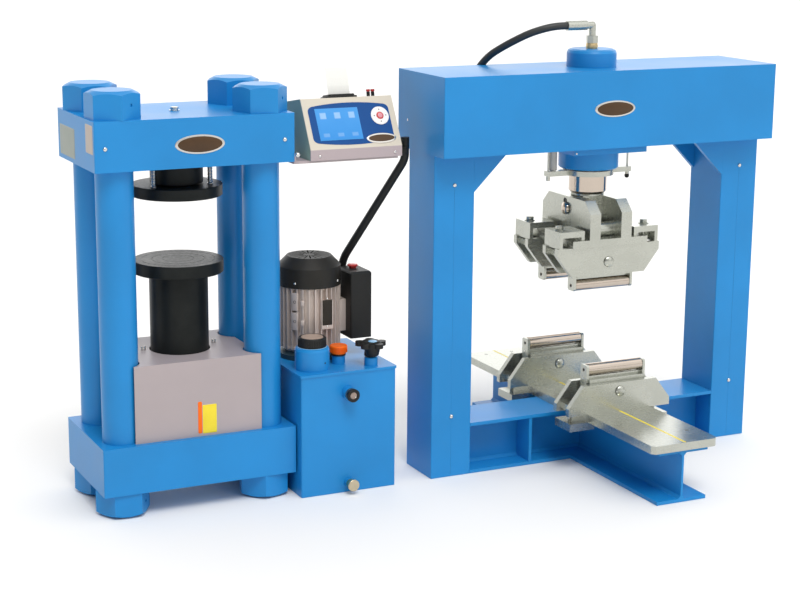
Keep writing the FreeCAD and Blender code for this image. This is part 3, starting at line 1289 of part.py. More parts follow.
doc.recompute()
for item in doc.Objects:
    faults = [word for word in item.State if word in ("Invalid", "Error")]
    if faults:
        raise RuntimeError("%s is %s" % (item.Label, faults))
for node in nodes:
    if node.Shape.isNull() or not node.Shape.isValid():
        raise RuntimeError("bad shape: " + node.Label)
for node in nodes:
    node.Shape.exportStep("parts/%s.step" % node.Label)
    box = node.Shape.BoundBox
    print("%-18s solids %2d  x %8.1f %8.1f  y %7.1f %7.1f  z %7.1f %7.1f" % (
        node.Label, len(node.Shape.Solids), box.XMin, box.XMax, box.YMin, box.YMax, box.ZMin, box.ZMax))
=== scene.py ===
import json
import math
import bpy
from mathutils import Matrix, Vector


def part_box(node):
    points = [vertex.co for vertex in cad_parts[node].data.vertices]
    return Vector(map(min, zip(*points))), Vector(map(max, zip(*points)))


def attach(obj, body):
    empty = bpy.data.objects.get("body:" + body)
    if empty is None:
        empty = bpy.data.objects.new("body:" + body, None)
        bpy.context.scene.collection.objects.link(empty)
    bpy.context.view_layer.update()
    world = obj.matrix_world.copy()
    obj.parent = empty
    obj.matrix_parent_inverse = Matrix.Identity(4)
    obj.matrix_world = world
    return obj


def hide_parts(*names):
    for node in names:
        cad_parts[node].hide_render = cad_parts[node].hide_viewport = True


bl_info = {
    "name": "Concrete testing machine",
    "version": (1, 0, 0),
    "blender": (4, 5, 0),
    "location": "3D View > Sidebar > Testing machine",
    "description": "Finishes a column press with power pack, console and bending portal",
    "category": "Add Mesh",
}

import bpy
from mathutils import Matrix, Vector

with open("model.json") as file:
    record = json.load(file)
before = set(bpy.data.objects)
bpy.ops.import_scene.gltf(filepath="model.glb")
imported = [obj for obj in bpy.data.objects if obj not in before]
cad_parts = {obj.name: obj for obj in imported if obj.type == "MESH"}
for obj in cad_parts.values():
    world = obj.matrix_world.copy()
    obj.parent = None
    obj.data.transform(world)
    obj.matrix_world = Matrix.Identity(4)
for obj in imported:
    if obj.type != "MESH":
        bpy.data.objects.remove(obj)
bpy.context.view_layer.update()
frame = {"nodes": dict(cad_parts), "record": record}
NODES = frame["nodes"]
MM = 0.001

# Middle lines of the three groups, read from the frame
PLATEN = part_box("upper_platen")
PRESS_X = (PLATEN[0].x + PLATEN[1].x) / 2
PRESS_Y = (PLATEN[0].y + PLATEN[1].y) / 2
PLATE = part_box("bearing_plate")
PORTAL_X = (PLATE[0].x + PLATE[1].x) / 2
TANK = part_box("oil_tank")
TANK_X = (TANK[0].x + TANK[1].x) / 2
TANK_Y = (TANK[0].y + TANK[1].y) / 2

# Borders between two paints on one node, and how soft they are
FLANGE_THICK = 0.019
MOTOR_FLANGE_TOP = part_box("motor_body")[0].z + FLANGE_THICK
APRON_HEIGHT = 0.0248
APRON_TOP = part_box("console_front")[0].z + APRON_HEIGHT
PAINT_BORDER = 0.001

# Angles that several pieces share
CASE_TOP_TILT = math.radians(-9.7)
MOTOR_FOOT_WAY = math.radians(221)
MOTOR_LUG_WAY = math.radians(235.5)

# Directions for pieces that stand on a face, and the turns that they ask for
TURNS = {"+Z": (0, 0, 0), "-Z": (math.pi, 0, 0), "+X": (0, math.pi / 2, 0), "-X": (0, -math.pi / 2, 0),
         "-Y": (math.pi / 2, 0, 0), "+Y": (-math.pi / 2, 0, 0)}

# Steps of a domed screw head, as (radius, height) in millimetres
DOME = [(5.2, 0), (5.2, 1.2), (4.6, 2.6), (3.2, 3.6), (1.4, 4.1)]


class Socket:
    """An output of a shader node that takes part in sums as a number would."""

    def __init__(self, tree, output):
        self.tree = tree
        self.output = output

    def maths(self, operation, first, second=None, clamp=False):
        node = self.tree.nodes.new("ShaderNodeMath")
        node.operation = operation
        node.use_clamp = clamp
        for index, value in enumerate((first, second)):
            if isinstance(value, Socket):
                self.tree.links.new(value.output, node.inputs[index])
            elif value is not None:
                node.inputs[index].default_value = value
        return Socket(self.tree, node.outputs[0])

    def __add__(self, other):
        return self.maths("ADD", self, other)

    __radd__ = __add__

    def __sub__(self, other):
        return self.maths("SUBTRACT", self, other)

    def __rsub__(self, other):
        return self.maths("SUBTRACT", other, self)

    def __mul__(self, other):
        return self.maths("MULTIPLY", self, other)

    __rmul__ = __mul__

    def __truediv__(self, other):
        return self.maths("DIVIDE", self, other)

    def clamped(self):
        return self.maths("ADD", self, 0.0, clamp=True)

    def size(self):
        return self.maths("ABSOLUTE", self)

    def remainder(self, step):
        return self.maths("FLOORED_MODULO", self, step)


class Finish:
    """A material under construction: one surface shader and the nodes that feed it."""

    def __init__(self, name):
        self.material = bpy.data.materials.new(name)
        self.material.use_nodes = True
        self.tree = self.material.node_tree
        self.tree.nodes.clear()
        self.shader = self.tree.nodes.new("ShaderNodeBsdfPrincipled")
        output = self.tree.nodes.new("ShaderNodeOutputMaterial")
        self.tree.links.new(self.shader.outputs[0], output.inputs[0])
        self.place = self.node("ShaderNodeTexCoord", out="Object")

    def node(self, kind, settings=None, out=0, **inputs):
        """Add a node, set it up, feed its sockets and return one output."""
        node = self.tree.nodes.new(kind)
        for key, value in (settings or {}).items():
            setattr(node, key, value)
        for key, value in inputs.items():
            self.feed(node.inputs[key.replace("_", " ")], value)
        return Socket(self.tree, node.outputs[out])

    def feed(self, target, value):
        if isinstance(value, Socket):
            self.tree.links.new(value.output, target)
        elif isinstance(value, (tuple, list)) and len(value) == 3 and target.type == "RGBA":
            target.default_value = (*value, 1.0)
        else:
            target.default_value = value

    def surface(self, **inputs):
        for key, value in inputs.items():
            self.feed(self.shader.inputs[key.replace("_", " ")], value)

    def stretched(self, x, y, z):
        """Object coordinates, squeezed along the axes with large factors."""
        return self.node("ShaderNodeMapping", Vector=self.place, Scale=(x, y, z))

    def noise(self, scale, detail=3.0, roughness=0.5, vector=None):
        return self.node("ShaderNodeTexNoise", Vector=vector or self.place, Scale=scale,
                         Detail=detail, Roughness=roughness)

    def mixed(self, factor, first, second):
        """A colour between two others."""
        node = self.tree.nodes.new("ShaderNodeMix")
        node.data_type = "RGBA"
        self.feed(node.inputs[0], factor)
        self.feed(node.inputs[6], first)
        self.feed(node.inputs[7], second)
        return Socket(self.tree, node.outputs[2])

    def bumped(self, height, distance, strength=1.0):
        normal = self.node("ShaderNodeBump", Height=height, Distance=distance, Strength=strength)
        self.feed(self.shader.inputs["Normal"], normal)

    def axes(self):
        """The three coordinates as separate sockets."""
        node = self.tree.nodes.new("ShaderNodeSeparateXYZ")
        self.feed(node.inputs[0], self.place)
        return [Socket(self.tree, node.outputs[i]) for i in range(3)]


def band(value, low, high, soft):
    """1 inside low and high, 0 outside, with soft edges."""
    rise = ((value - low) / soft).clamped()
    fall = ((high - value) / soft).clamped()
    return rise * fall


def painted(name, colour, shade, roughness=0.36, grain=0.00012):
    """Sprayed machine paint with a faint orange peel and uneven gloss."""
    finish = Finish(name)
    cloud = finish.noise(5.0, detail=4.0)
    peel = finish.noise(420.0, detail=2.0)
    colour = finish.mixed(((cloud - 0.35) * 2.2).clamped(), shade, colour)
    finish.surface(Base_Color=colour, Roughness=roughness + (cloud - 0.5) * 0.16, IOR=1.4)
    finish.bumped(peel, grain, 0.35)
    return finish.material


def moulded(name, colour, shade, roughness=0.45, grain=0.00008, coat=0.0, ior=1.5):
    """Moulded plastic with a fine spark texture."""
    finish = Finish(name)
    cloud = finish.noise(30.0, detail=3.0)
    pits = finish.noise(1500.0, detail=2.0)
    finish.surface(Base_Color=finish.mixed(cloud, shade, colour), Coat_Weight=coat, IOR=ior,
                   Roughness=roughness + (pits - 0.5) * 0.14)
    finish.bumped(pits, grain, 0.5)
    return finish.material


def plated(name, colour, shade, roughness=0.27):
    """Zinc plate on milled steel: cloudy, with faint milling lines."""
    finish = Finish(name)
    cloud = finish.noise(16.0, detail=5.0, roughness=0.6)
    lines = finish.noise(60.0, detail=3.0, roughness=0.6, vector=finish.stretched(1.0, 14.0, 14.0))
    stain = finish.noise(5.0, detail=3.0)
    tone = ((cloud - 0.5) * 0.6 + (lines - 0.5) * 0.2 + (stain - 0.5) * 0.5 + 0.55).clamped()
    finish.surface(Base_Color=finish.mixed(tone, shade, colour), Metallic=0.88,
                   Roughness=roughness + (cloud - 0.5) * 0.12 + (lines - 0.5) * 0.06)
    finish.bumped(lines, 0.000006, 0.3)
    return finish.material


def ground(name, colour, shade, stretch, roughness=0.24):
    """Ground or turned steel with fine lines round or along the piece."""
    finish = Finish(name)
    lines = finish.noise(220.0, detail=3.0, roughness=0.7, vector=finish.stretched(*stretch))
    cloud = finish.noise(14.0, detail=3.0)
    finish.surface(Base_Color=finish.mixed((lines * 0.6 + cloud * 0.5).clamped(), shade, colour),
                   Metallic=1.0, Roughness=roughness + (lines - 0.5) * 0.14 + (cloud - 0.5) * 0.1)
    finish.bumped(lines, 0.00001, 0.3)
    return finish.material


def blackened(name):
    """Black oxide on turned steel, with rubbed brown-grey clouds."""
    finish = Finish(name)
    cloud = finish.noise(9.0, detail=5.0, roughness=0.6)
    lines = finish.noise(160.0, detail=2.0, roughness=0.6, vector=finish.stretched(1.0, 1.0, 9.0))
    tone = ((cloud - 0.42) * 2.0).clamped()
    finish.surface(Base_Color=finish.mixed(tone, (0.009, 0.011, 0.011), (0.026, 0.028, 0.026)),
                   Metallic=0.35, Roughness=0.42 + (lines - 0.5) * 0.25 + (cloud - 0.5) * 0.2, IOR=1.3)
    finish.bumped(lines, 0.00005, 0.4)
    return finish.material


def cast(name):
    """Die-cast aluminium, blasted and a little dusty, on a painted flange."""
    finish = Finish(name)
    grain = finish.noise(700.0, detail=2.0)
    cloud = finish.noise(22.0, detail=4.0)
    metal = finish.mixed(cloud, (0.50, 0.42, 0.375), (0.70, 0.61, 0.55))
    flange = ((MOTOR_FLANGE_TOP - finish.axes()[2]) / PAINT_BORDER).clamped()
    finish.surface(Base_Color=finish.mixed(flange, metal, (0.035, 0.075, 0.095)), Metallic=0.3,
                   Roughness=0.5 + (grain - 0.5) * 0.2)
    finish.bumped(grain, 0.00015, 0.5)
    return finish.material


def two_tone(name, colour, apron):
    """Console paint in two tones: the leaning panel and the upright apron under it."""
    finish = Finish(name)
    cloud = finish.noise(5.0, detail=4.0)
    peel = finish.noise(420.0, detail=2.0)
    upper = ((finish.axes()[2] - APRON_TOP) / PAINT_BORDER).clamped()
    tone = finish.mixed(upper, apron, colour)
    finish.surface(Base_Color=tone, Roughness=0.42 + (cloud - 0.5) * 0.16, IOR=1.4)
    finish.bumped(peel, 0.0001, 0.35)
    return finish.material


def lit_screen(name):
    """A bright display with soft plain tiles in two rows."""
    finish = Finish(name)
    x, y, z = finish.axes()
    low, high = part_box("display")
    across = (x - low.x) / (high.x - low.x)
    up = (z - low.z) / (high.z - low.z)
    column = (across * 3.0).remainder(1.0)
    tile = band(column, 0.26, 0.74, 0.06) * (
        band(up, 0.66, 0.88, 0.03) + band(up, 0.10, 0.24, 0.03) * 0.45)
    glow = finish.noise(24.0, detail=2.0)
    field = finish.mixed((up * 0.8 + (glow - 0.5) * 0.3).clamped(),
                         (0.030, 0.235, 0.60), (0.060, 0.29, 0.66))
    colour = finish.mixed((tile * 0.45).clamped(), field, (0.50, 0.66, 0.80))
    finish.surface(Base_Color=colour, Emission_Color=colour, Emission_Strength=0.12,
                   Roughness=0.3, IOR=1.35)
    return finish.material


def paper_roll(name):
    """Thin thermal paper with a faint fibre."""
    finish = Finish(name)
    fibre = finish.noise(500.0, detail=3.0, roughness=0.6, vector=finish.stretched(1.0, 1.0, 0.3))
    finish.surface(Base_Color=finish.mixed(fibre, (0.80, 0.79, 0.74), (0.88, 0.87, 0.83)),
                   Roughness=0.8)
    finish.bumped(fibre, 0.00005, 0.3)
    return finish.material


def rubber(name):
    """Hose cover with a fine wrapped-cloth print."""
    finish = Finish(name)
    x, y, z = finish.axes()
    pitch = 0.004
    wrap = (x * 1.0 + y * 0.6 + z * 1.3).remainder(pitch) / pitch
    ridge = (wrap - 0.5).size() * 2.0
    cloud = finish.noise(40.0, detail=3.0)
    finish.surface(Base_Color=finish.mixed(cloud, (0.016, 0.018, 0.018), (0.040, 0.043, 0.042)),
                   Roughness=0.48 + (cloud - 0.5) * 0.2)
    finish.bumped(ridge, 0.0002, 0.4)
    return finish.material


FINISHES = {}


def make_finishes(settings):
    """Build every material once, in the user's colours."""
    blue = tuple(settings.paint_colour)
    deep = tuple(channel * 0.86 for channel in blue)
    # A maker and its values: colour, shade, roughness, grain, coat, index of refraction; for ground
    # metal colour, shade, stretch of the lines, roughness
    recipes = {
        "machine_paint": (painted, blue, deep),
        "cover_paint": (painted, (0.44, 0.375, 0.38), (0.40, 0.345, 0.35), 0.42),
        "black_steel": (blackened,),
        "ground_steel": (ground, (0.64, 0.555, 0.475), (0.44, 0.375, 0.32), (14.0, 1.0, 1.0), 0.15),
        "bright_steel": (ground, (0.80, 0.79, 0.76), (0.58, 0.57, 0.55), (1.0, 1.0, 6.0), 0.2),
        "plated_steel": (plated, (0.58, 0.59, 0.53), (0.37, 0.38, 0.34)),
        "motor_metal": (cast,),
        "dark_cowl": (moulded, (0.024, 0.022, 0.018), (0.015, 0.014, 0.012), 0.5, 0.00015, 0.0, 1.33),
        "black_plastic": (moulded, (0.016, 0.016, 0.015), (0.010, 0.010, 0.0095), 0.45, 0.00008, 0.0, 1.35),
        "red_plastic": (moulded, (0.62, 0.03, 0.025), (0.48, 0.015, 0.015), 0.28, 0.00003, 0.4),
        "orange_plastic": (moulded, (1.0, 0.175, 0.004), (0.90, 0.13, 0.003), 0.36, 0.00004, 0.0, 1.35),
        "case_paint": (painted, (0.27, 0.42, 0.37), (0.23, 0.36, 0.32), 0.5, 0.0003),
        "panel_paint": (two_tone, (0.62, 0.565, 0.47), (0.44, 0.37, 0.385)),
        "blue_film": (moulded, (0.002, 0.070, 0.265), (0.001, 0.055, 0.225), 0.4, 0.00003, 0.0, 1.3),
        "lit_display": (lit_screen,),
        "white_key": (moulded, (0.86, 0.85, 0.84), (0.80, 0.79, 0.78), 0.4, 0.00003),
        "paper": (paper_roll,),
        "brass": (ground, (0.72, 0.55, 0.30), (0.50, 0.37, 0.19), (1.0, 1.0, 6.0), 0.3),
        "hose_rubber": (rubber,),
        "clear_window": (moulded, (0.05, 0.05, 0.055), (0.03, 0.03, 0.032), 0.12, 0.00001, 0.5),
        "yellow_plate": (moulded, (0.90, 0.72, 0.03), (0.80, 0.62, 0.02), 0.35, 0.00002),
        "cream_plate": (moulded, (0.50, 0.43, 0.37), (0.44, 0.37, 0.32), 0.4, 0.00002, 0.0, 1.4),
        "dark_plate": (moulded, (0.028, 0.021, 0.014), (0.018, 0.014, 0.010), 0.4, 0.00002, 0.0, 1.35),
        "pink_key": (moulded, (0.72, 0.30, 0.34), (0.66, 0.25, 0.29), 0.4, 0.00003),
        "silver_rim": (ground, (0.74, 0.71, 0.66), (0.55, 0.52, 0.48), (4.0, 4.0, 1.0), 0.3),
        "tan_tube": (moulded, (0.56, 0.53, 0.46), (0.46, 0.43, 0.37), 0.4),
        "deep_paint": (painted, tuple(channel * 0.45 for channel in blue), deep),
        "sage_plate": (moulded, (0.30, 0.34, 0.30), (0.26, 0.30, 0.265), 0.4, 0.00002, 0.0, 1.4),
        "badge_field": (moulded, (0.085, 0.040, 0.012), (0.050, 0.025, 0.010), 0.35, 0.00002, 0.0, 1.4),
        "window_glass": (moulded, (0.34, 0.25, 0.20), (0.25, 0.18, 0.15), 0.12, 0.00001, 0.5),
        "zinc_yellow": (plated, (0.74, 0.62, 0.42), (0.50, 0.41, 0.27), 0.34),
        "wood_disc": (moulded, (0.56, 0.42, 0.33), (0.30, 0.21, 0.16), 0.5, 0.00004),
        "light_blue": (moulded, (0.30, 0.56, 0.80), (0.24, 0.48, 0.72), 0.4, 0.00003),
    }
    for name, (maker, *values) in recipes.items():
        FINISHES[name] = maker(name, *values)


def dress_nodes():
    """Give each CAD node the finish of its material slot."""
    slots = {item["node"]: item["material_slot"] for item in frame["record"]["subparts"]}
    for name, node in NODES.items():
        node.data.materials.clear()
        node.data.materials.append(FINISHES[slots[name]])


# Modelling helpers: every piece starts as a primitive and is shaped by operators

def clear_selection():
    """Leave edit mode and deselect all, so an operator acts on one piece only."""
    if bpy.context.object and bpy.context.object.mode != "OBJECT":
        bpy.ops.object.mode_set(mode="OBJECT")
    bpy.ops.object.select_all(action="DESELECT")


def apply_place():
    """Move the active piece's place, turn and scale into its mesh."""
    bpy.ops.object.transform_apply(location=True, rotation=True, scale=True)


def settle(name, body, slot, place=None, turn=(0, 0, 0), angle=35):
    """Stand the active piece in its place, name it, give it its finish, and let it ride."""
    piece = bpy.context.object
    if place is not None:
        piece.rotation_euler = TURNS[turn] if isinstance(turn, str) else turn
        piece.location = place
    apply_place()
    piece.name = name
    piece.data.name = name
    bpy.ops.object.shade_smooth_by_angle(angle=math.radians(angle))
    piece.data.materials.clear()
    piece.data.materials.append(FINISHES[slot])
    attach(piece, body)
    piece.select_set(False)
    return piece


def rounded(width, segments=2, limit=30):
    """Bevel the active piece's sharp edges with a modifier and apply it."""
    bevel = bpy.context.object.modifiers.new("edge", "BEVEL")
    bevel.width = width
    bevel.segments = segments
    bevel.limit_method = "ANGLE"
    bevel.angle_limit = math.radians(limit)
    bpy.ops.object.modifier_apply(modifier=bevel.name)


def turned(name, body, slot, steps, place, direction="+Z", sides=32, bevel=0.0):
    """A turned piece: a disc drawn out ring by ring to (radius, height) steps in millimetres."""
    clear_selection()
    radius, height = steps[0]
    bpy.ops.mesh.primitive_circle_add(vertices=sides, radius=radius * MM, fill_type="NGON",
                                      location=(0, 0, height * MM))
    apply_place()
    bpy.ops.object.mode_set(mode="EDIT")
    bpy.ops.mesh.select_all(action="SELECT")
    for next_radius, next_height in steps[1:]:
        bpy.ops.mesh.extrude_region_move(
            TRANSFORM_OT_translate={"value": (0, 0, (next_height - height) * MM)})
        if abs(next_radius - radius) > 1e-6:
            factor = next_radius / radius
            bpy.ops.transform.resize(value=(factor, factor, 1), center_override=(0, 0, 0))
        radius, height = next_radius, next_height
    bpy.ops.mesh.select_all(action="SELECT")
    bpy.ops.mesh.normals_make_consistent(inside=False)
    bpy.ops.object.mode_set(mode="OBJECT")
    if bevel:
        rounded(bevel * MM)
    return settle(name, body, slot, place, direction)


def fixing(name, steps, place, direction="+Z", sides=32):
    """A turned steel fitting on one of the frames."""
    return turned(name, "machine", "bright_steel", steps, place, direction, sides)


def block(name, body, slot, low, high, bevel=0.5, segments=2):
    """A block between two corners in metres, with bevelled edges."""
    clear_selection()
    middle = [(a + b) / 2 for a, b in zip(low, high)]
    extent = [abs(b - a) for a, b in zip(low, high)]
    bpy.ops.mesh.primitive_cube_add(size=1, location=middle)
    bpy.context.object.scale = extent
    apply_place()
    rounded(bevel * MM, segments)
    return settle(name, body, slot)


def plate(name, body, slot, width, height, thick, place, turn, corner=0.0):
    """A thin plate with chamfered rims: an oval if it has no corner radius."""
    clear_selection()
    if corner:
        bpy.ops.mesh.primitive_plane_add(size=1)
    else:
        bpy.ops.mesh.primitive_circle_add(vertices=48, radius=0.5, fill_type="NGON")
    bpy.context.object.scale = (width, height, 1)
    apply_place()
    bpy.ops.object.mode_set(mode="EDIT")
    if corner:
        bpy.ops.mesh.select_all(action="SELECT")
        bpy.ops.mesh.bevel(offset=corner, segments=6, affect="VERTICES")
    bpy.ops.mesh.select_all(action="SELECT")
    for rise, narrower in ((0.7, (0.985, 0.97, 1)), (0.3, (0.97, 0.94, 1))):
        bpy.ops.mesh.extrude_region_move(TRANSFORM_OT_translate={"value": (0, 0, thick * rise)})
        bpy.ops.transform.resize(value=narrower, center_override=(0, 0, 0))
    bpy.ops.mesh.select_all(action="SELECT")
    bpy.ops.mesh.normals_make_consistent(inside=False)
    bpy.ops.object.mode_set(mode="OBJECT")
    return settle(name, body, slot, place, turn)


def bolt_head(name, body, slot, across, tall, place, direction="+Z", washer=0.0, turn=0.0):
    """A hexagon head with bevelled edges, on a washer if one is wanted."""
    clear_selection()
    radius = across / math.sqrt(3)
    bpy.ops.mesh.primitive_cylinder_add(vertices=6, radius=radius * MM, depth=tall * MM,
                                        location=(0, 0, (tall / 2 + washer) * MM),
                                        rotation=(0, 0, turn))
    apply_place()
    rounded(across * 0.05 * MM, 2)
    bpy.ops.object.mode_set(mode="EDIT")
    if washer:
        bpy.ops.mesh.primitive_cylinder_add(vertices=32, radius=radius * 1.25 * MM, depth=washer * MM,
                                            location=(0, 0, washer / 2 * MM))
    bpy.ops.object.mode_set(mode="OBJECT")
    return settle(name, body, slot, place, direction)


# The stage: floor, light and the camera at the photograph's angle

SENSOR_WIDTH = 36.0
CAMERA_REACH = 200.0
FLOOR_SIZE = 120.0
FLOOR_DROP = 0.0005


def aim_camera(settings):
    """Place the camera that sees the machine as the photograph does."""
    camera = bpy.data.cameras.new("camera")
    camera.sensor_width = SENSOR_WIDTH
    camera.lens = settings.lens
    camera.clip_end = CAMERA_REACH
    seen = bpy.data.objects.new("camera", camera)
    bpy.context.scene.collection.objects.link(seen)
    yaw, pitch, roll = settings.yaw, settings.pitch, settings.roll
    forward = Vector((math.sin(yaw) * math.cos(pitch), math.cos(yaw) * math.cos(pitch),
                      -math.sin(pitch)))
    right = Vector((math.cos(yaw), -math.sin(yaw), 0))
    up = right.cross(forward)
    turned_right = right * math.cos(roll) + up * math.sin(roll)
    turned_up = up * math.cos(roll) - right * math.sin(roll)
    axes = Matrix((turned_right, turned_up, -forward)).transposed()
    seen.matrix_world = Matrix.Translation(Vector(settings.camera_place)) @ axes.to_4x4()
    bpy.context.scene.camera = seen


def pale_floor():
    """A wide floor that looks white and keeps the machine's soft shadow."""
    clear_selection()
    bpy.ops.mesh.primitive_plane_add(size=FLOOR_SIZE, location=(0, 0, -FLOOR_DROP))
    floor = bpy.context.object
    floor.name = "floor"
    finish = Finish("floor")
    finish.surface(Base_Color=(0.905, 0.895, 0.88), Roughness=0.9)
    floor.data.materials.append(finish.material)


def soft_light(settings):
    """A pale sky with a bright wall behind the machine, a large key lamp and a weak fill."""
    world = bpy.data.worlds.new("studio")
    bpy.context.scene.world = world
    world.use_nodes = True
    tree = world.node_tree
    tree.nodes.clear()
    output = tree.nodes.new("ShaderNodeOutputWorld")
    sky = tree.nodes.new("ShaderNodeBackground")
    sky.inputs["Color"].default_value = (0.98, 0.98, 0.975, 1.0)
    way = tree.nodes.new("ShaderNodeTexCoord")
    parts = tree.nodes.new("ShaderNodeSeparateXYZ")
    tree.links.new(way.outputs["Generated"], parts.inputs[0])
    x, y, z = [Socket(tree, parts.outputs[index]) for index in range(3)]
    behind = ((y * 0.9 + x * 0.43 - 0.25) / 0.5).clamped()
    near_floor = ((0.55 - z) / 0.25).clamped()
    overhead = ((z - 0.6) / 0.3).clamped()
    dim_left = 1.0 - (x * -0.6).clamped()
    strength = dim_left * settings.sky_strength + overhead * settings.overhead_strength
    strength = strength + behind * near_floor * settings.wall_strength
    tree.links.new(strength.output, sky.inputs["Strength"])
    tree.links.new(sky.outputs[0], output.inputs[0])
    for name, energy, spread, way in (("key", settings.key_strength, 25, (-12, -66, 100)),
                                      ("fill", settings.fill_strength, 60, (60, -80, 70))):
        lamp = bpy.data.lights.new(name, "SUN")
        lamp.energy = energy
        lamp.angle = math.radians(spread)
        shining = bpy.data.objects.new(name, lamp)
        bpy.context.scene.collection.objects.link(shining)
        shining.rotation_euler = outward_turn(way)


def near_press(x, y, z):
    """A place in metres, from millimetres off the press's middle line."""
    return (PRESS_X + x * MM, PRESS_Y + y * MM, z * MM)


def near_portal(x, y, z):
    """A place in metres, from millimetres off the portal's middle line."""
    return (PORTAL_X + x * MM, y * MM, z * MM)


class Piece:
    """What every operator of the add-on shares."""

    bl_options = {"REGISTER", "UNDO"}

    def settings(self):
        return bpy.context.scene.testing_machine


class TESTER_OT_finishes(Piece, bpy.types.Operator):
    """Build all finishes and give the frame's pieces theirs"""

    bl_idname = "tester.finishes"
    bl_label = "Finishes"

    def execute(self, context):
        make_finishes(self.settings())
        dress_nodes()
        return {"FINISHED"}


class TESTER_OT_crosshead(Piece, bpy.types.Operator):
    """Add the crosshead's side screws, blank plates and lifting plug"""

    bl_idname = "tester.crosshead"
    bl_label = "Crosshead fittings"

    def execute(self, context):
        low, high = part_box("crosshead")
        middle = (low.z + high.z) / 2
        inset = self.settings().screw_inset
        row = middle - 0.004
        for side, x in (("left", low.x + inset), ("right", high.x - inset)):
            fixing("crosshead_screw_" + side, DOME, (x, low.y, row), "-Y")
        oval_badge("crosshead_badge", (PRESS_X + 0.0075, low.y, row), 0.120, 0.045)
        leftward = (math.pi / 2, 0, -math.pi / 2)
        thick, corner = 0.0006, 0.003
        plate("rating_plate_back", "machine", "sage_plate", 0.124, 0.070, thick,
              (low.x, PRESS_Y + 0.070, middle - 0.012), leftward, corner)
        plate("rating_plate_front", "machine", "cream_plate", 0.056, 0.065, thick,
              (low.x, PRESS_Y - 0.111, middle + 0.015), leftward, corner)
        bolt_head("lifting_plug", "machine", "bright_steel", 17, 7,
                  (PRESS_X - 0.006, PRESS_Y - 0.013, high.z), washer=2.0, turn=0.3)
        return {"FINISHED"}


def oval_badge(name, place, width, height):
    """A blank oval plate: a brown field that stands a little out of its silver rim."""
    rim_thick, field_thick = 0.0016, 0.0022
    plate(name + "_rim", "machine", "silver_rim", width, height, rim_thick, place, "-Y")
    plate(name + "_field", "machine", "badge_field", width * 0.91, height * 0.84, field_thick,
          place, "-Y")


class TESTER_OT_platen_seat(Piece, bpy.types.Operator):
    """Add the three spring bolts that carry the upper platen, and its side pin"""

    bl_idname = "tester.platen_seat"
    bl_label = "Platen spring bolts"

    def execute(self, context):
        low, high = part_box("upper_platen")
        face = self.settings().platen_top / MM
        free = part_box("crosshead")[0].z / MM - face
        spread = self.settings().spring_bolt_spread / MM
        coils = 14
        coil = (free - 9) / coils
        for index, degrees in enumerate((210, 330, 90)):
            angle = math.radians(degrees)
            x, y = spread * math.cos(angle), spread * math.sin(angle)
            steps = [(7.0, 0), (7.0, 2.0), (3.4, 2.4), (3.4, free - 5), (5.2, free - 4.4), (5.2, free + 8)]
            turned("spring_bolt_%d" % index, "upper_platen", "bright_steel", steps,
                   near_press(x, y, face), sides=24, bevel=0.2)
            rings = [(5.0, 0)]
            for ring in range(coils):
                rings += [(6.5, coil * (ring + 0.5)), (5.0, coil * (ring + 1))]
            turned("seat_spring_%d" % index, "upper_platen", "bright_steel", rings,
                   near_press(x, y, face + 2.4), sides=20)
        turned("platen_pin", "upper_platen", "bright_steel",
               [(1.8, 0), (1.8, 26), (2.8, 26.4), (2.8, 29), (1.8, 30)],
               (high.x + 0.0018, PRESS_Y, low.z - 0.004), sides=20)
        return {"FINISHED"}


class TESTER_OT_cover(Piece, bpy.types.Operator):
    """Add the stops on the cover's top and its blank plates"""

    bl_idname = "tester.cover"
    bl_label = "Cover fittings"

    def execute(self, context):
        low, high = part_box("guard_cover")
        for side, x in (("left", -89), ("right", 89)):
            for leg, dx in (("a", -3.2), ("b", 3.2)):
                fixing("cover_stop_%s_%s" % (side, leg), [(2.4, 0), (2.4, 9.5), (1.8, 10.6), (0.8, 11)],
                       (PRESS_X + (x + dx) * MM, PRESS_Y + 0.007, high.z), sides=16)
        thick = 0.0007
        plate("cover_plate_strip", "machine", "orange_plastic", 0.010, 0.078, thick,
              (-0.652, low.y, 0.222), "-Y", 0.003)
        plate("cover_plate", "machine", "yellow_plate", 0.035, 0.070, thick,
              (-0.628, low.y, 0.217), "-Y", 0.002)
        return {"FINISHED"}


